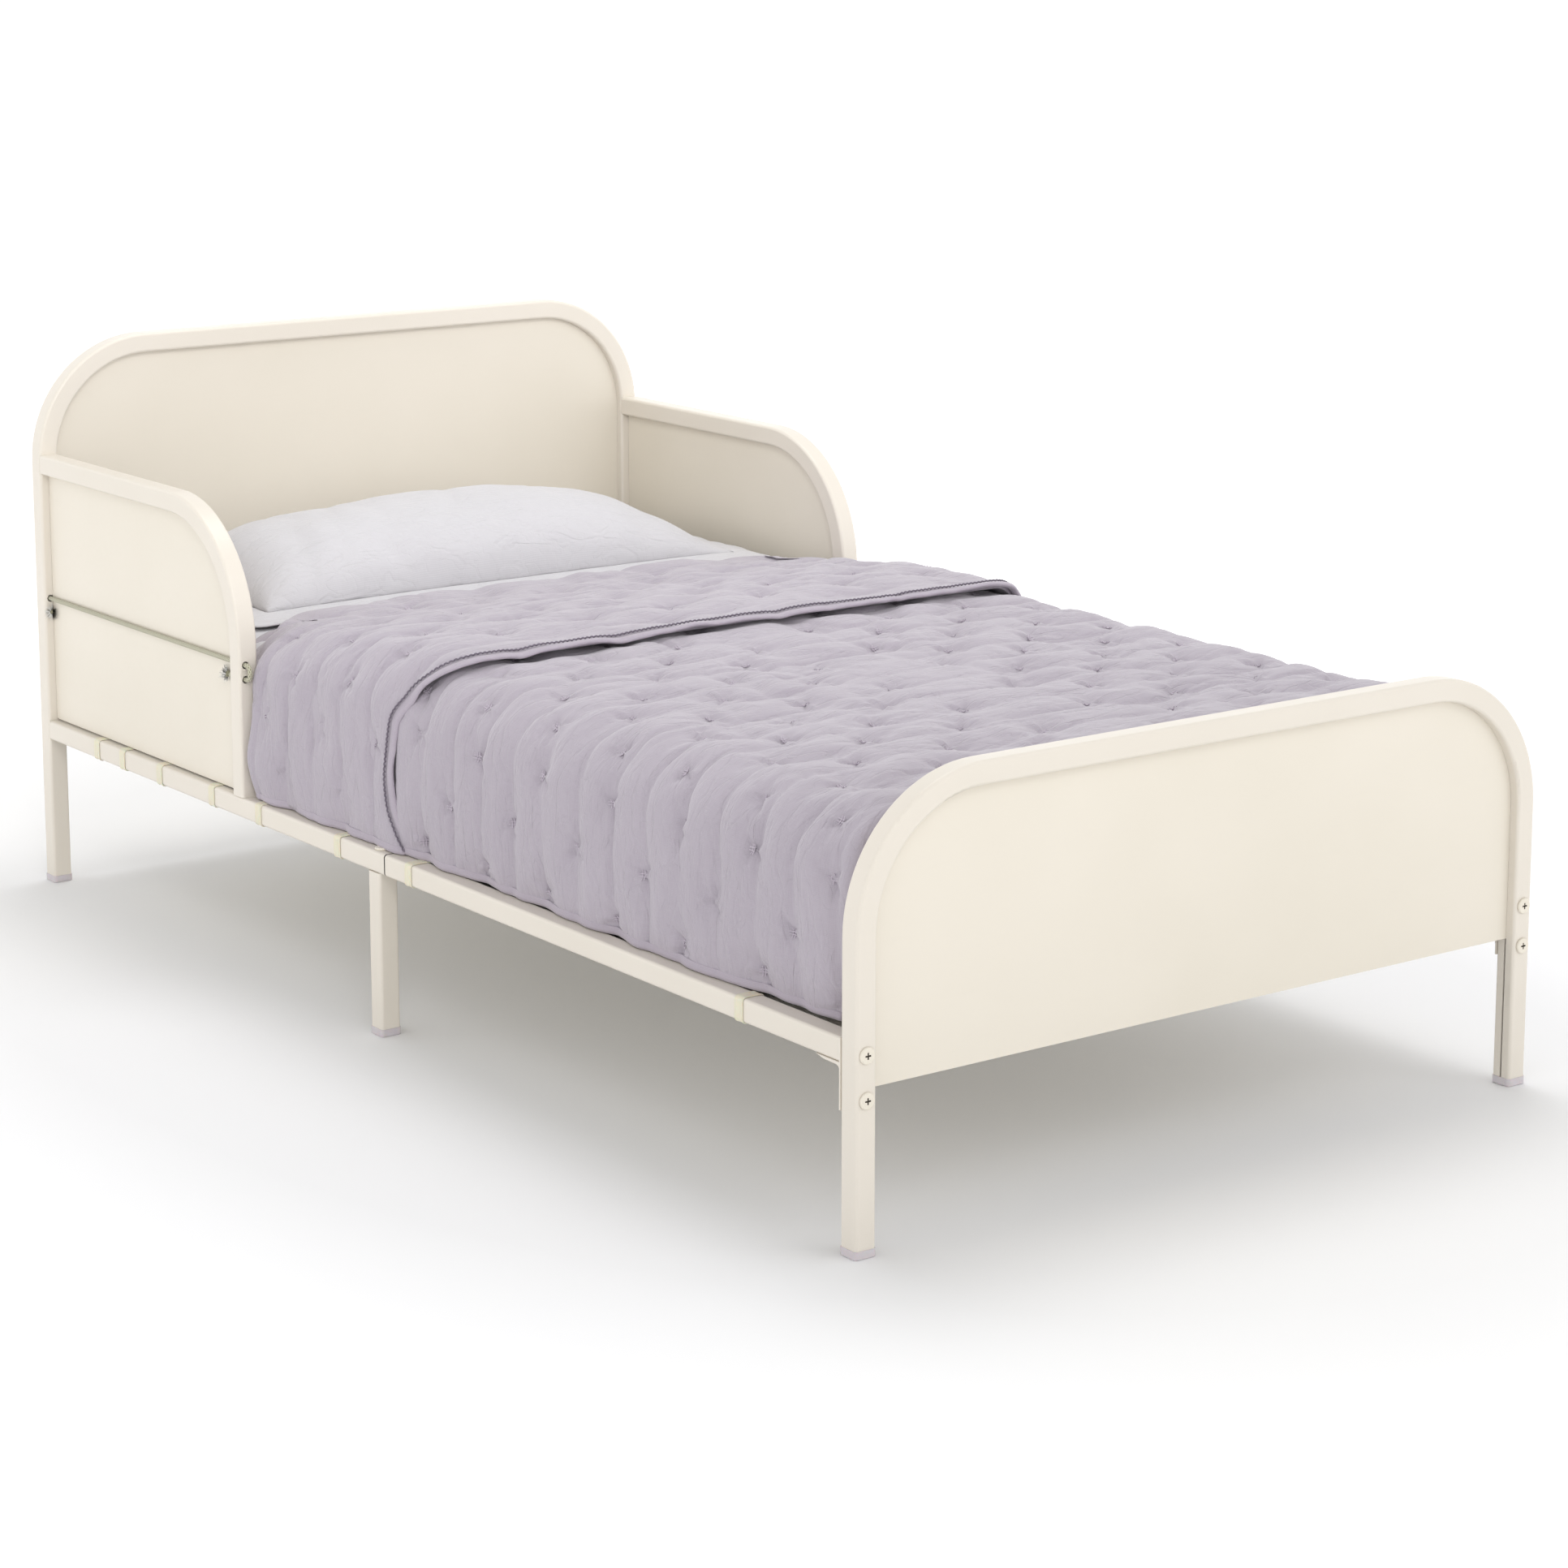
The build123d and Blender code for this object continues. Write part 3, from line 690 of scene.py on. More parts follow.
def main_quilt():
    """The quilt's lower layer: over the top and sides, turned down inside the footboard."""
    section, along, inward = section_frame(QUILT_HALF, QUILT_TOP, QUILT_EDGE, QUILT_HEM_Z)
    cols = len(section)
    lengths = np.arange(QUILT_HEAD_Y, QUILT_FOOT_Y + QUILT_TURN, -GRID)
    rows = [np.stack([section[:, 0], np.full(cols, y), section[:, 1]], axis=1) for y in lengths]
    travelled = [QUILT_HEAD_Y - y for y in lengths]
    reach = np.where(np.abs(section[:, 0]) < QUILT_HALF - QUILT_EDGE, 0.090, 0.006)
    for k in range(1, 6):
        angle = k / 5 * math.pi / 2
        flat = section + inward * (QUILT_TURN * (1 - math.cos(angle)))
        y = QUILT_FOOT_Y + QUILT_TURN - QUILT_TURN * math.sin(angle)
        rows.append(np.stack([flat[:, 0], np.full(cols, y), flat[:, 1]], axis=1))
        travelled.append(travelled[-1] + QUILT_TURN * math.pi / 10)
    for k in range(1, 9):
        flat = section + inward * (QUILT_TURN + reach * k / 8)[:, None]
        rows.append(np.stack([flat[:, 0], np.full(cols, QUILT_FOOT_Y), flat[:, 1]], axis=1))
        travelled.append(travelled[-1] + 0.011)
    count = len(rows)
    y_of = np.repeat(QUILT_HEAD_Y - np.array(travelled), cols).reshape(count, cols)
    s_of = np.tile(along, count).reshape(count, cols)
    draped = side_shape(np.concatenate(rows), 0.0)
    shaped = keep_clear(sink(draped)).reshape(count, cols, 3)
    tufts = tuft_positions(along[-1], QUILT_FOOT_Y - 0.02, 0.05, QUILT_ROWS)
    return quilted("quilt_layer", shaped, s_of, y_of, tufts, along[-1], QUILT_ROWS[0][1], QUILT_FILL,
                   quilt_cotton)


# Where the band's hem hangs on the side: (height, y).
HEM_ON_SIDE = ((0.171, -0.020), (0.192, -0.005), (0.212, 0.006), (0.249, 0.009), (0.302, 0.000),
               (0.340, -0.030))


def hem_y(x, z):
    """Where the turned-down band ends, towards the foot."""
    side = smoothstep(0.30, 0.345, np.abs(x))
    hang = np.interp(z, *zip(*HEM_ON_SIDE))
    return BAND_HEM_Y * (1 - side) + hang * side


def head_y(x):
    """Where the band folds over at the head; it runs back towards the foot at the sides."""
    return BAND_HEAD_Y - 0.052 * smoothstep(0.25, 0.345, np.abs(x))


def quilt_band():
    """The turned-down band across the head of the quilt, with its rolled fold."""
    section, along, inward = section_frame(BAND_HALF, BAND_TOP, 0.060, QUILT_HEM_Z + 0.001)
    cols = len(section)
    low = hem_y(section[:, 0], section[:, 1])
    high = head_y(section[:, 0])
    roll = np.where(np.abs(section[:, 0]) < 0.30, 0.0095, 0.0045)
    span = int(round((BAND_HEAD_Y - BAND_HEM_Y) / GRID))
    rows = []
    travelled = []
    for k in range(8, 0, -1):
        angle = k / 8 * math.pi * 0.94
        y = high - roll + roll * math.sin(angle)
        flat = section + inward * (roll * (1 - math.cos(angle)))[:, None]
        rows.append(np.stack([flat[:, 0], y, flat[:, 1]], axis=1))
        travelled.append(high - roll + roll * angle)
    for k in range(span + 1):
        y = high - roll + (low - high + roll) * k / span
        rows.append(np.stack([section[:, 0], y, section[:, 1]], axis=1))
        travelled.append(y)
    count = len(rows)
    s_of = np.tile(along, count).reshape(count, cols)
    draped = side_shape(np.concatenate(rows), BAND_HALF - QUILT_HALF)
    shaped = keep_clear(sink(draped)).reshape(count, cols, 3)
    tufts = tuft_positions(along[-1], BAND_HEM_Y + 0.024, BAND_HEAD_Y - 0.03, BAND_ROWS)
    return quilted("quilt_band", shaped, s_of, np.array(travelled), tufts, along[-1], BAND_ROWS[0][1],
                   BAND_FILL, band_cotton)


def binding(name, line, outward, away, width, height):
    """A folded strip of cloth sewn along an edge, with its stitch line pressed in."""
    section = []
    for k in range(16):
        angle = 2 * math.pi * k / 16
        across = math.cos(angle) * width / 2
        up = math.sin(angle) * height / 2
        if abs(across + width * 0.28) < width * 0.16 and up > 0:
            up *= 0.55
        section.append((across, up))
    points = []
    uvs = []
    gone = 0.0
    for k, place in enumerate(line):
        if k:
            gone += float(np.linalg.norm(place - line[k - 1]))
        pucker = 1 + 0.10 * math.sin(gone / 0.0062 * 2 * math.pi)
        for across, up in section:
            points.append(place + away[k] * across + outward[k] * up * pucker)
            uvs.append((gone, across))
    piece = mesh_piece(name, points, grid_faces(len(line), 16, wrap=True), uvs)
    ends = [tuple(range(16)), tuple(range(len(points) - 1, len(points) - 17, -1))]
    face_outward(piece, ends)
    subdivide(piece)
    piece.data.materials.append(binding_cotton)
    return piece


def running_stitch(name, line, outward, stitch, gap, thick):
    """A row of short threads along a line."""
    line, along = even_line(line, 0.0004)
    outward = np.array(outward)
    source = np.linspace(0, 1, len(outward))
    wanted = np.linspace(0, 1, len(line))
    outward = np.stack([np.interp(wanted, source, outward[:, k]) for k in range(3)], axis=1)
    points, faces = [], []
    start = 0.0
    while start + stitch < along[-1]:
        base = len(points)
        for k in range(5):
            at = int(np.searchsorted(along, start + stitch * k / 4))
            ahead = line[min(at + 2, len(line) - 1)] - line[max(at - 2, 0)]
            side = np.cross(ahead / max(np.linalg.norm(ahead), 1e-9), outward[at])
            arch = thick * (1.0 - (k / 2 - 1) ** 2)
            for m in range(6):
                angle = m / 6 * 2 * math.pi
                rise = outward[at] * (arch + thick * math.sin(angle))
                points.append(line[at] + rise + side * thick * math.cos(angle))
        faces += grid_faces(5, 6, base, wrap=True)
        start += stitch + gap
    piece = mesh_piece(name, points, faces, [(p[0], p[1]) for p in points])
    piece.data.materials.append(seam_thread_painted_shade)
    return piece


def even_line(line, step):
    """The line at even steps, and the distance along it at each."""
    steps = np.linalg.norm(np.diff(line, axis=0), axis=1)
    along = np.concatenate([[0], np.cumsum(steps)])
    wanted = np.linspace(0, along[-1], int(along[-1] / step) + 1)
    return np.stack([np.interp(wanted, along, line[:, k]) for k in range(3)], axis=1), wanted


def smooth_line(line, passes=4):
    line = np.array(line)
    for _ in range(passes):
        line[1:-1] = (line[:-2] + 2 * line[1:-1] + line[2:]) / 4
    return line


def directions(line, inside):
    """Unit directions away from the cloth's inside and outward from its face, along an edge line."""
    along = np.gradient(line, axis=0)
    along /= np.linalg.norm(along, axis=1, keepdims=True)
    away = line - inside
    away -= along * np.sum(away * along, axis=1, keepdims=True)
    away /= np.linalg.norm(away, axis=1, keepdims=True)
    outward = np.cross(along, away)
    outward *= np.where(outward[:, 2] + np.sign(line[:, 0]) * outward[:, 0] < 0, -1, 1)[:, None]
    return away, outward


def thread_crosses(name, places, finish):
    """The small sewn crosses that hold the tufts."""
    points, faces, uvs = [], [], []
    for centre, normal, across in places:
        n = Vector(normal).normalized()
        b = n.cross(Vector(across)).normalized()
        t = b.cross(n)
        for along, across, shift in ((t, b, -0.0012), (t, b, 0.0012), (b, t, -0.0012), (b, t, 0.0012)):
            base = len(points)
            for k in range(7):
                u = (k / 6 - 0.5) * 0.0085
                rise = 0.0006 + 0.0013 * (abs(u) / 0.00425) ** 2
                middle = Vector(centre) + along * u + across * shift + n * rise
                for m in range(6):
                    angle = m / 6 * 2 * math.pi
                    aside = across * (THREAD_RADIUS * math.cos(angle))
                    points.append(middle + aside + n * (THREAD_RADIUS * math.sin(angle)))
                    uvs.append((u, m * 0.0004))
            faces += grid_faces(7, 6, base, wrap=True)
    piece = mesh_piece(name, points, faces, uvs)
    piece.data.materials.append(finish)
    return piece


quilt_layer, quilt_grid, quilt_tufts = main_quilt()
band_layer, band_grid, band_tufts = quilt_band()
quilt_pieces = [quilt_layer, band_layer]

hem_line = smooth_line(band_grid[-1])
away, outward = directions(hem_line, smooth_line(band_grid[-7]))
strip_line = hem_line + away * 0.0054 - outward * 0.0012
stitch_line = hem_line - away * 0.0004 + outward * 0.0013
quilt_pieces.append(binding("quilt_band_binding", strip_line, outward, away, 0.0104, 0.0054))
quilt_pieces.append(running_stitch("quilt_band_stitching", stitch_line, outward, 0.0042, 0.0006, 0.0009))
for side_name, column, inner_column in (("left", 0, 6), ("right", -1, -7)):
    for layer_name, grid in (("quilt", quilt_grid), ("quilt_band", band_grid)):
        if layer_name == "quilt":
            rows = grid[:-26]
            rows = rows[rows[:, column, 1] < 0.03]
        else:
            rows = grid[16:]
        edge = smooth_line(rows[:, column])
        edge[:, 2] = np.maximum(edge[:, 2], RAIL_TOP + 0.0045)
        away, outward = directions(edge, smooth_line(rows[:, inner_column]))
        strip = binding(f"{layer_name}_{side_name}_hem", edge, outward, away, 0.008, 0.004)
        quilt_pieces.append(strip)
quilt_pieces.append(thread_crosses("quilt_stitches", quilt_tufts + band_tufts, stitch_thread))

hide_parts("quilt")
for piece in quilt_pieces:
    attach(piece, "quilt")


# --- pillow ------------------------------------------------------------------------------------
def pillow():
    """The pillow in its flanged case: two sheets inflated together, then settled on the bed."""
    step = 0.0075
    width, depth = PILLOW_BODY
    nx, ny = int(width / step) + 1, int(depth / step) + 1
    xs, ys = np.linspace(-width / 2, width / 2, nx), np.linspace(-depth / 2, depth / 2, ny)
    grid_x, grid_y = np.meshgrid(xs, ys)
    fall_x = np.clip(1 - (2 * np.abs(grid_x + 0.03) / (width + 0.06)) ** 3.4, 0, 1) ** 0.8
    fall_y = np.clip(1 - (2 * np.abs(grid_y + 0.012) / (depth + 0.024)) ** 2.3, 0, 1) ** 0.85
    inside = (1 - (2 * np.abs(grid_x) / width) ** 8) * (1 - (2 * np.abs(grid_y) / depth) ** 8)
    swell = (PILLOW_CREST - SHEET_TOP - 0.007) * fall_x * fall_y * np.clip(inside, 0, 1) ** 0.4
    flat = np.stack([grid_x.ravel(), grid_y.ravel(), np.zeros(nx * ny)], axis=1)
    ripple = (0.0034 * noise_field(flat, 11.0, 2) + 0.0020 * noise_field(flat, 27.0, 3)).reshape(ny, nx)
    for scale, seed, deep in ((5.5, 14, 0.0042), (9.0, 15, 0.0026)):
        fold = np.abs(noise_field(flat * np.array([1.0, 0.55, 1.0]), scale, seed)).reshape(ny, nx)
        ripple -= deep * np.clip(1 - fold / 0.13, 0, 1) ** 1.4
    ripple *= np.clip(swell / 0.02, 0, 1)
    top = np.stack([grid_x, grid_y, swell + ripple + 0.005], axis=2).reshape(-1, 3)
    index = np.arange(nx * ny).reshape(ny, nx)
    border = set(index[0]) | set(index[-1]) | set(index[:, 0]) | set(index[:, -1])
    lower = {}
    points = list(top)
    for i in range(nx * ny):
        if i in border:
            lower[i] = i
        else:
            lower[i] = len(points)
            points.append(top[i] * np.array([1, 1, 0]) + np.array([0, 0, 0.0015]))
    faces = grid_faces(ny, nx)
    faces += [tuple(lower[i] for i in f[::-1]) for f in grid_faces(ny, nx)]
    points = np.array(points)
    body = mesh_piece("pillow_body", points, faces, points[:, :2] * 1.04)
    settle(body, [], 18, 1.0, 0.028, 0.0075, 0.5, 14.0)
    where = get_points(body.data)
    where[:, 0] += PILLOW_CENTRE[0]
    where[:, 1] += PILLOW_CENTRE[1]
    where[:, 2] = np.maximum(where[:, 2] + SHEET_TOP, SHEET_TOP + 0.0012)
    set_points(body.data, where)
    subdivide(body)
    body.data.materials.append(pillow_cotton)
    ring = border_ring(index)
    return body, where[ring], np.stack([top[ring][:, 0] / width * 2, top[ring][:, 1] / depth * 2], axis=1)


def pillow_flange(seam, place):
    """The flat border of the case, sewn round the seam and lying in soft waves."""
    count = len(seam)
    out = np.where(np.abs(place) > 0.999, np.sign(place), 0.0)
    soft = out.copy()
    for _ in range(3):
        soft = (np.roll(soft, 1, axis=0) + 2 * soft + np.roll(soft, -1, axis=0)) / 4
    corner = np.abs(out).sum(axis=1) > 1.5
    soft[corner] = out[corner]
    reach = (0.004, 0.010, 0.018, 0.026, PILLOW_FLANGE)
    wave = noise_field(np.concatenate([seam[:, :2], np.zeros((count, 1))], axis=1), 26.0, 4)
    rings_top, rings_low = [], []
    for k, distance in enumerate((-0.002,) + reach):
        share = max(distance, 0) / PILLOW_FLANGE
        plan = seam[:, :2] + soft * distance
        drop = seam[:, 2] * (1 - share) + (SHEET_TOP + 0.0035) * share
        flutter = 0.0012 * np.sin(np.arange(count) * 0.9 + k)
        lift = 0.0045 * np.abs(wave) * share + flutter * share * (1 - share) * 4
        groove = -0.0008 if k == 1 else 0.0
        rings_top.append(np.column_stack([plan, drop + lift + 0.0013 + groove]))
        rings_low.append(np.column_stack([plan, np.maximum(drop + lift - 0.0013, SHEET_TOP + 0.0008)]))
    rings = rings_top + rings_low[::-1]
    points = np.concatenate(rings)
    faces = grid_faces(len(rings), count, wrap=True)
    last = (len(rings) - 1) * count
    for i in range(count):
        after = (i + 1) % count
        faces.append((i, after, last + after, last + i))
    piece = mesh_piece("pillow_flange", points, faces, points[:, :2])
    face_outward(piece)
    subdivide(piece)
    piece.data.materials.append(pillow_cotton)
    return piece


pillow_body, pillow_seam, pillow_place = pillow()
pillow_border = pillow_flange(pillow_seam, pillow_place)
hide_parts("pillow")
for piece in (pillow_body, pillow_border):
    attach(piece, "pillow")


# --- mattress, fitted sheet and base ------------------------------------------------------------
def rounded_shell(low, high, radius, step, closed):
    """Points and faces of a rounded box; open below if it isn't closed."""
    mesh = bmesh.new()
    counts = [max(3, int(round((h - l) / step))) for l, h in zip(low, high)]
    lines = [np.linspace(l, h, n + 1) for l, h, n in zip(low, high, counts)]
    lookup = {}

    def vertex(p):
        key = tuple(round(float(c), 5) for c in p)
        if key not in lookup:
            lookup[key] = mesh.verts.new(key)
        return lookup[key]

    def face(axis, value):
        a, b = [k for k in range(3) if k != axis]
        for i in range(counts[a]):
            for j in range(counts[b]):
                corners = []
                for di, dj in ((0, 0), (1, 0), (1, 1), (0, 1)):
                    p = [0, 0, 0]
                    p[axis] = value
                    p[a] = lines[a][i + di]
                    p[b] = lines[b][j + dj]
                    corners.append(vertex(p))
                mesh.faces.new(corners)

    for axis in (0, 1):
        face(axis, low[axis])
        face(axis, high[axis])
    face(2, high[2])
    if closed:
        face(2, low[2])
    bmesh.ops.recalc_face_normals(mesh, faces=mesh.faces)
    inner_low = np.array(low) + radius
    inner_high = np.array(high) - radius
    if not closed:
        inner_low[2] = low[2] - radius
    for v in mesh.verts:
        p = np.array(v.co)
        q = np.clip(p, inner_low, inner_high)
        away = p - q
        size = np.linalg.norm(away)
        v.co = q + away / size * radius if size > 1e-6 else p
    return mesh


def shell_piece(name, mesh, shape):
    """Turns a shell into a piece, moving each point along its normal by shape(points)."""
    data = bpy.data.meshes.new(name)
    mesh.to_mesh(data)
    mesh.free()
    piece = link(bpy.data.objects.new(name, data))
    points = get_points(data)
    normals = get_normals(data)
    set_points(data, points + normals * shape(points)[:, None])
    data.polygons.foreach_set("use_smooth", [True] * len(data.polygons))
    layer = data.uv_layers.new(name="cloth")
    corners = np.empty(len(data.loops), dtype=np.int32)
    data.loops.foreach_get("vertex_index", corners)
    flat = np.stack([points[:, 0] + points[:, 2], points[:, 1] + points[:, 2]], axis=1)
    layer.data.foreach_set("uv", flat[corners].astype(np.float32).ravel())
    return piece


mattress_low, mattress_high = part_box("mattress")


def mattress_shape(points):
    x, y, z = points.T
    puff = 0.0016 * np.sin(x / 0.05 * math.pi) * np.sin(y / 0.05 * math.pi)
    top = smoothstep(mattress_high[2] - 0.02, mattress_high[2] - 0.004, z)
    bottom = 1 - smoothstep(mattress_low[2] + 0.004, mattress_low[2] + 0.02, z)
    waist = bump_at(z, (mattress_low[2] + mattress_high[2]) / 2, 0.03)
    return puff * np.maximum(top, bottom) - 0.002 - 0.0012 * waist


core_shell = rounded_shell(mattress_low, mattress_high, 0.022, 0.012, True)
core = shell_piece("mattress_core", core_shell, mattress_shape)
core.data.materials.append(mattress_cover)
subdivide(core)
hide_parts("mattress")
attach(core, "mattress")

sheet_low, sheet_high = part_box("fitted_sheet")


def sheet_shape(points):
    x, y, z = points.T
    folds = noise_field(np.stack([x * 1.0, y * 0.35, z * 0.5], axis=1), 14.0, 6)
    fine = noise_field(np.stack([x * 0.6, y * 1.3, z * 0.4], axis=1), 30.0, 8)
    upper = smoothstep(0.30, 0.313, z)
    gather = np.sin((x + y) / 0.017) * (1 - smoothstep(0.19, 0.24, z))
    corner = bump_at(np.abs(x), 0.33, 0.05) * bump_at(np.abs(y - 0.004), 0.655, 0.06)
    pleats = 0.0014 * corner * np.sin((x - y) / 0.006)
    return upper * (0.0010 * folds + 0.0006 * fine) - 0.0008 + 0.0009 * gather + pleats


sheet_shell = rounded_shell(sheet_low, sheet_high, 0.0238, 0.011, False)
fitted = shell_piece("fitted_sheet_cloth", sheet_shell, sheet_shape)
fitted.data.materials.append(sheet_cotton)
subdivide(fitted)
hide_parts("fitted_sheet")
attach(fitted, "mattress")

base_low, base_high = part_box("base_fabric")
slat_centres = [sum(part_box(f"cross_slat_{k}")[m][1] for m in (0, 1)) / 2 for k in range(1, 6)]


def base_piece():
    """The base fabric, pulled between the rails and dipping a little between the slats."""
    cols, rows = 61, 105
    xs = np.linspace(base_low[0], base_high[0], cols)
    ys = np.linspace(base_low[1], base_high[1], rows)
    gx, gy = np.meshgrid(xs, ys)
    near = np.min(np.abs(gy[..., None] - np.array(slat_centres)), axis=2)
    z = base_high[2] - 0.0004 - 0.0012 * smoothstep(0.02, 0.12, near)
    flat = np.stack([gx.ravel(), gy.ravel(), gx.ravel() * 0], axis=1)
    z += 0.0003 * noise_field(flat, 20.0, 11).reshape(z.shape)
    points = np.stack([gx, gy, z], axis=2).reshape(-1, 3)
    piece = mesh_piece("base_fabric_cloth", points, grid_faces(rows, cols), points[:, :2])
    piece.data.materials.append(base_cloth)
    return piece


base = base_piece()
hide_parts("base_fabric")
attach(base, "frame")


# --- rail loops ---------------------------------------------------------------------------------
def loop_finish():
    """Moulded elastic: fine ribs along the loop and a slightly translucent body."""
    f = Finish("loop_elastic_finish", Specular_IOR_Level=0.4, Subsurface_Weight=0.2, Subsurface_Scale=0.002)
    here = f.coords()
    ribs = f.wave(here, 330.0, "Y")
    f.colour(f.mix(f.spread(ribs, 0.2, 0.8, 0.0, 0.5), srgb(231, 222, 200), srgb(216, 206, 180)))
    f.roughness(f.spread(f.noise(here, 400.0, 3.0), 0.3, 0.7, 0.4, 0.6))
    f.height(ribs, 0.0002, 0.6)
    f.height(f.noise(here, 700.0, 2.0), 0.0001, 0.4)
    return f.done()


def rail_loops(side):
    """The bands round a side rail, each with beaded edges."""
    low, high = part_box(f"{side}_rail_loops")
    middle_x = (low[0] + high[0]) / 2
    middle_z = (low[2] + high[2]) / 2
    half = (high[0] - low[0]) / 2
    source = get_points(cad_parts[f"{side}_rail_loops"].data)
    ys = np.unique(np.round(source[:, 1], 4))
    starts = ys[np.concatenate([[True], np.diff(ys) > 0.02])]
    ring = []
    corner = 0.0042
    for cx, cz, first in ((1, 1, 0), (-1, 1, 90), (-1, -1, 180), (1, -1, 270)):
        for k in range(6):
            angle = math.radians(first + 18 * k)
            ring.append((cx * (half - corner), cz * (half - corner), math.cos(angle), math.sin(angle)))
    across = ((0.0, -0.0009), (0.0002, -0.0001), (0.0012, 0.0), (0.0022, -0.00035), (0.0055, -0.0003),
              (0.0088, -0.00035), (0.0098, 0.0), (0.0108, -0.0001), (0.011, -0.0009))
    points, faces, uvs = [], [], []
    for start in starts:
        base_index = len(points)
        for y, inset in across:
            for k, (cx, cz, nx, nz) in enumerate(ring):
                reach = corner + inset
                points.append((middle_x + cx + nx * reach, start + y, middle_z + cz + nz * reach))
                uvs.append((k * 0.003, y))
        faces += grid_faces(len(across), len(ring), base_index, wrap=True)
    piece = mesh_piece(f"{side}_rail_bands", points, faces, uvs)
    face_outward(piece)
    thick = piece.modifiers.new("Thickness", "SOLIDIFY")
    thick.thickness = 0.0004
    thick.offset = -1
    piece.data.materials.append(loop_elastic)
    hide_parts(f"{side}_rail_loops")
    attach(piece, "frame")
    return piece


loop_elastic = loop_finish()
for side_name in ("left", "right"):
    rail_loops(side_name)


# --- guard cords --------------------------------------------------------------------------------
CORD_D = 0.0046
CORD_X = 0.36325
CORD_HIGH_Z = 0.303
CORD_LOW_Z = 0.289
POST_KNOT_Y = 0.680
GUARD_KNOT_Y = 0.294


def braid_finish():
    """Braided elastic cord: crossing strands in olive grey with darker flecks between them."""
    f = Finish("cord_elastic_finish", Sheen_Weight=0.2, Specular_IOR_Level=0.3)
    uv = f.coords(uv=True)
    one = f.wave(f.coords(uv=True, turn=0.95), 150.0, "X")
    two = f.wave(f.coords(uv=True, turn=-0.95), 150.0, "X")
    strands = f.math("MAXIMUM", one, two)
    fleck = f.noise(uv, 700.0, 2.0)
    base = f.mix(f.spread(strands, 0.35, 0.9), srgb(134, 131, 108), srgb(194, 191, 170))
    f.colour(f.mix(f.spread(fleck, 0.6, 0.75, 0.0, 0.5), base, srgb(92, 90, 74)))
    f.roughness(f.spread(fleck, 0.3, 0.7, 0.6, 0.85))
    f.height(strands, 0.0004, 0.8)
    return f.done()


def fibre_finish(name, dark, light):
    f = Finish(name, Specular_IOR_Level=0.3, Sheen_Weight=0.2)
    here = f.coords()
    f.colour(f.mix(f.spread(f.noise(here, 900.0, 3.0), 0.35, 0.65), dark, light))
    f.roughness(f.spread(f.noise(here, 500.0, 2.0), 0.3, 0.7, 0.55, 0.8))
    f.height(f.noise(here, 1500.0, 2.0), 0.0001, 0.5)
    return f.done()


cord_elastic = braid_finish()
fibre_dark = fibre_finish("cord_fibre_dark_finish", srgb(38, 38, 38), srgb(66, 65, 62))
fibre_light = fibre_finish("cord_fibre_light_finish", srgb(222, 221, 218), srgb(244, 243, 240))


def cord_route(side):
    """The control points of a guard cord, from its knot inside the headboard post round to its other end."""
    x = side * CORD_X
    return [(x, POST_KNOT_Y, CORD_LOW_Z), (x, 0.68895, CORD_LOW_Z), (x, 0.68895, CORD_HIGH_Z),
            (x, 0.67495, CORD_HIGH_Z), (x, 0.26905, CORD_HIGH_Z), (x, 0.25505, CORD_HIGH_Z),
            (x, 0.25505, CORD_LOW_Z), (x, 0.26905, CORD_LOW_Z), (x, GUARD_KNOT_Y, CORD_LOW_Z)]


def route_line(name, route):
    """Points along the smooth spline through a route's control points."""
    curve = bpy.data.curves.new(name, "CURVE")
    curve.dimensions = "3D"
    curve.resolution_u = 24
    spline = curve.splines.new("NURBS")
    spline.points.add(len(route) - 1)
    for point, place in zip(spline.points, route):
        point.co = (*place, 1)
    spline.order_u = 3
    spline.use_endpoint_u = True
    holder = link(bpy.data.objects.new(name, curve))
    line = get_points(bpy.data.meshes.new_from_object(holder))
    bpy.data.objects.remove(holder)
    return line


def guard_cord(side_name, side):
    """The braided cord as a tube whose strands stand up a little."""
    line, along = even_line(route_line(f"{side_name}_route", cord_route(side)), 0.0012)
    heading = np.gradient(line, axis=0)
    heading /= np.linalg.norm(heading, axis=1, keepdims=True)
    across = np.array([1.0, 0, 0])
    points, uvs = [], []
    around = 20
    for k, place in enumerate(line):
        up = np.cross(heading[k], across)
        for m in range(around):
            angle = 2 * math.pi * m / around
            turn = along[k] / 0.0105 * 2 * math.pi
            strand = max(abs(math.sin(2 * angle + turn)), abs(math.sin(2 * angle - turn)))
            radius = CORD_D / 2 * (0.955 + 0.05 * strand)
            points.append(place + (across * math.cos(angle) + up * math.sin(angle)) * radius)
            uvs.append((along[k], m / around * math.pi * CORD_D))
    piece = mesh_piece(f"{side_name}_elastic_cord", points, grid_faces(len(line), around, wrap=True), uvs)
    piece.data.materials.append(cord_elastic)
    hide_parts(f"{side_name}_guard_cord")
    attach(piece, "frame")
    return piece, line


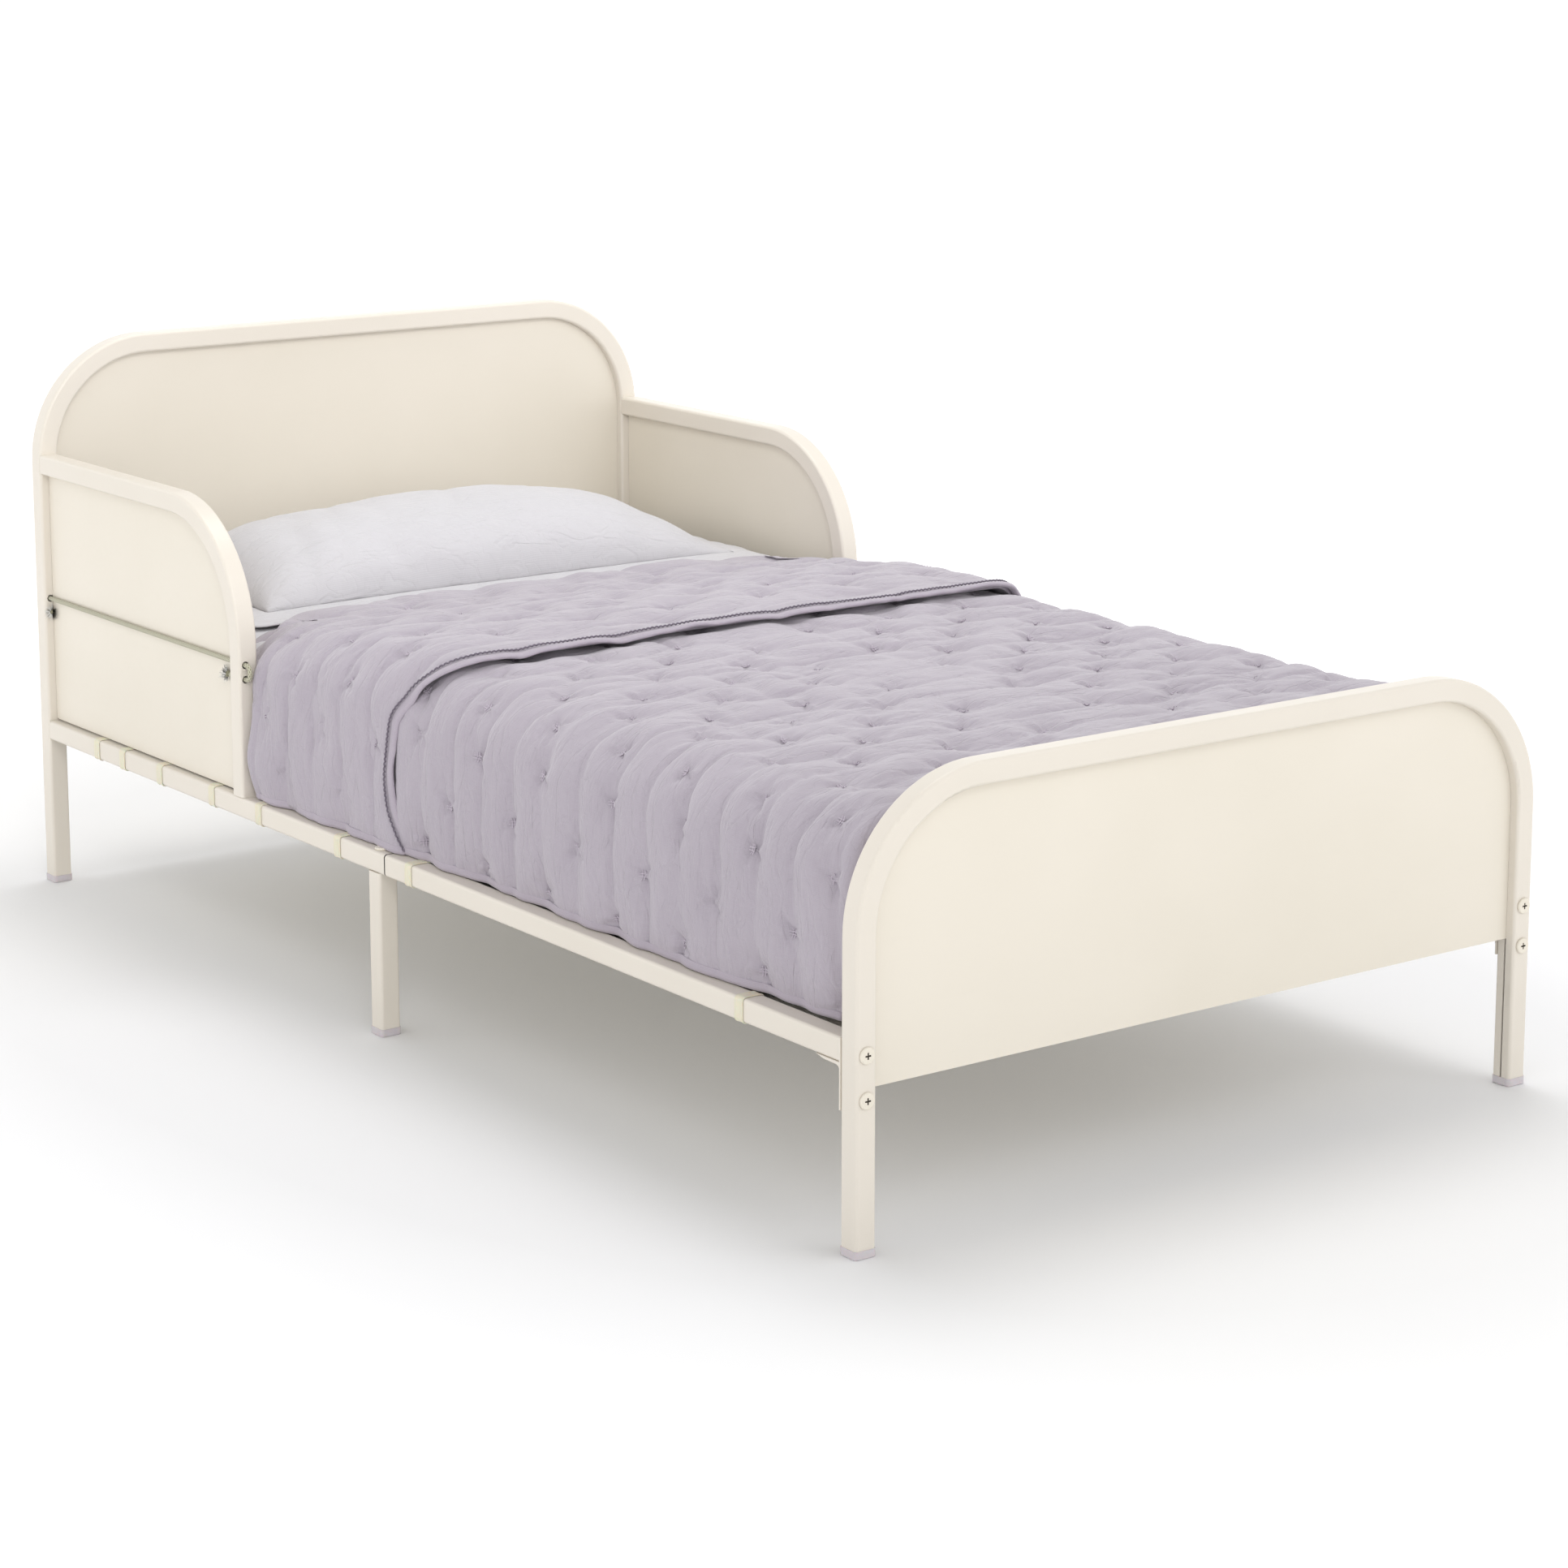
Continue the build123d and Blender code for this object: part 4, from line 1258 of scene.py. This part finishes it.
def frayed_end(side_name, side, label, y, direction):
    """A knot and the star of filaments fanned out round it against the post."""
    centre = Vector((side * CORD_X, y, CORD_LOW_Z))
    ahead = Vector((0, direction, 0))
    out = Vector((side, 0, 0))
    up = Vector((0, 0, 1))
    made = []
    picker = random.Random(31 + int(y * 1000) + int(side))
    root = centre + ahead * (0.0009 if label == "post" else 0.0040)
    knot_long = 0.0020 if label == "post" else 0.0034
    knot_radius = 0.0022 if label == "post" else 0.0032
    for tone, finish, count in (("dark", fibre_dark, 26), ("light", fibre_light, 80)):
        points, faces = [], []
        for _ in range(count):
            angle = picker.uniform(-math.pi, math.pi)
            level = math.cos(angle)
            spoke = (out * level if level > 0 else ahead * -1.25 * level) + up * math.sin(angle)
            dark = tone == "dark"
            long = picker.uniform(0.0055, 0.0088) * (0.8 if dark else 1.0)
            lift = picker.uniform(0.0006, 0.0026) if dark else picker.uniform(0.0020, 0.0052)
            base = len(points)
            thick = picker.uniform(0.00024, 0.00034) if dark else picker.uniform(0.00030, 0.00048)
            bend = picker.uniform(-0.0009, 0.0009)
            for k in range(5):
                t = k / 4
                middle = root + spoke * (0.0006 + long * t) + ahead * (lift * t * (1.6 - t)) + up * bend * t * t
                for m in range(5):
                    a = m / 5 * 2 * math.pi
                    points.append(middle + (ahead * math.cos(a) + up * math.sin(a)) * thick * (1 - 0.5 * t))
            faces += grid_faces(5, 5, base, wrap=True)
        piece = mesh_piece(f"{side_name}_{label}_fibres_{tone}", points, faces)
        piece.data.materials.append(finish)
        made.append(piece)
    knot_points = []
    rings, around = 12, 18
    for i in range(rings + 1):
        polar = math.pi * i / rings
        for m in range(around):
            angle = 2 * math.pi * m / around
            ridge = 1 + 0.16 * math.sin(3 * angle + 2.2 * polar) * math.sin(polar)
            radius = knot_radius * math.sin(polar) * ridge
            depth = 0.0004 + knot_long * (1 - math.cos(polar))
            aside = out * (radius * math.cos(angle)) + up * (radius * math.sin(angle))
            knot_points.append(centre + ahead * depth + aside)
    knot = mesh_piece(f"{side_name}_{label}_knot", knot_points, grid_faces(rings + 1, around, wrap=True))
    knot.data.materials.append(cord_elastic)
    made.append(knot)
    return made


for side_name, side in (("left", -1), ("right", 1)):
    cord_piece, cord_line = guard_cord(side_name, side)
    near = frayed_end(side_name, side, "post", POST_KNOT_Y, -1)
    far = frayed_end(side_name, side, "guard", GUARD_KNOT_Y, 1)
    for piece in near + far:
        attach(piece, "frame")
    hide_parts(f"{side_name}_cord_ends")


# --- studio -------------------------------------------------------------------------------------
HORIZON_LIGHT = 1.72
ZENITH_LIGHT = 0.36
# the floor's painted glow: half-sizes of its ring round the bed and its strength
PAINTED_GLOW_RING = (0.62, 0.95)
PAINTED_FLOOR_GLOW = 0.34
FLOOR_Z = -0.0002


def floor():
    """A pale floor that runs back past the view, gently uneven, with a matt painted finish."""
    f = Finish("studio_floor_finish", Specular_IOR_Level=0.1)
    here = f.coords()
    f.colour(f.mix(f.spread(f.noise(here, 0.7, 3.0), 0.3, 0.7), srgb(243, 243, 243), srgb(241, 241, 242)))
    f.roughness(0.9)
    f.height(f.noise(here, 90.0, 3.0), 0.0002, 0.2)
    ring = f.node("ShaderNodeVectorMath", operation="LENGTH")
    f.put(ring.inputs[0], f.coords(scale=(1 / PAINTED_GLOW_RING[0], 1 / PAINTED_GLOW_RING[1], 0)))
    # painted light: the floor glows, from none near the bed up to full strength further out, whitening the far
    # floor
    f.shader.inputs["Emission Color"].default_value = (1, 1, 1, 1)
    f.put(f.shader.inputs["Emission Strength"], f.spread(ring.outputs["Value"], 1.05, 2.1, 0.0, PAINTED_FLOOR_GLOW))
    size = 60.0
    corners = [(-size, -size, FLOOR_Z), (size, -size, FLOOR_Z), (size, size, FLOOR_Z), (-size, size, FLOOR_Z)]
    piece = mesh_piece("studio_floor", corners, [(0, 1, 2, 3)])
    piece.data.materials.append(f.done())


def area_light(name, place, target, size, power, spread=180):
    data = bpy.data.lights.new(name, "AREA")
    data.shape = "SQUARE"
    data.size = size
    data.energy = power
    data.spread = math.radians(spread)
    lamp = link(bpy.data.objects.new(name, data))
    lamp.location = place
    lamp.rotation_euler = (Vector(target) - Vector(place)).to_track_quat("-Z", "Y").to_euler()


floor()
world = bpy.data.worlds.new("studio")
scene.world = world
world.use_nodes = True
dome = world.node_tree
background = dome.nodes["Background"]
background.inputs["Color"].default_value = (1, 1, 1, 1)
direction = dome.nodes.new("ShaderNodeTexCoord")
split = dome.nodes.new("ShaderNodeSeparateXYZ")
dome.links.new(direction.outputs["Generated"], split.inputs["Vector"])
lift = dome.nodes.new("ShaderNodeMapRange")
dome.links.new(split.outputs["Z"], lift.inputs["Value"])
lift.inputs["From Min"].default_value = 0.0
lift.inputs["From Max"].default_value = 1.0
lift.inputs["To Min"].default_value = HORIZON_LIGHT
lift.inputs["To Max"].default_value = ZENITH_LIGHT
seen = dome.nodes.new("ShaderNodeLightPath")
pick = dome.nodes.new("ShaderNodeMix")
pick.data_type = "FLOAT"
dome.links.new(seen.outputs["Is Camera Ray"], pick.inputs[0])
dome.links.new(lift.outputs["Result"], pick.inputs[2])
pick.inputs[3].default_value = 1.0
dome.links.new(pick.outputs[0], background.inputs["Strength"])
area_light("key", (1.6, -3.6, 3.4), (0, 0, 0.2), 2.6, 21)
area_light("top", (0.5, 0.5, 3.6), (0, 0, 0.2), 1.8, 43)
area_light("headboard_fill", (-1.3, -1.9, 1.9), (0.15, 0.69, 0.45), 0.8, 1.35, spread=42)
scene.view_settings.view_transform = "Standard"

camera_data = bpy.data.cameras.new("camera")
camera_data.sensor_width = 36
camera_data.lens = 89.56
camera_data.shift_y = -0.12
camera_data.clip_end = 200
camera = link(bpy.data.objects.new("camera", camera_data))
camera.location = (-2.1027, -2.9582, 1.0709)
camera.rotation_euler = (math.radians(90 - 10.937), 0, math.radians(-36.394))
scene.camera = camera
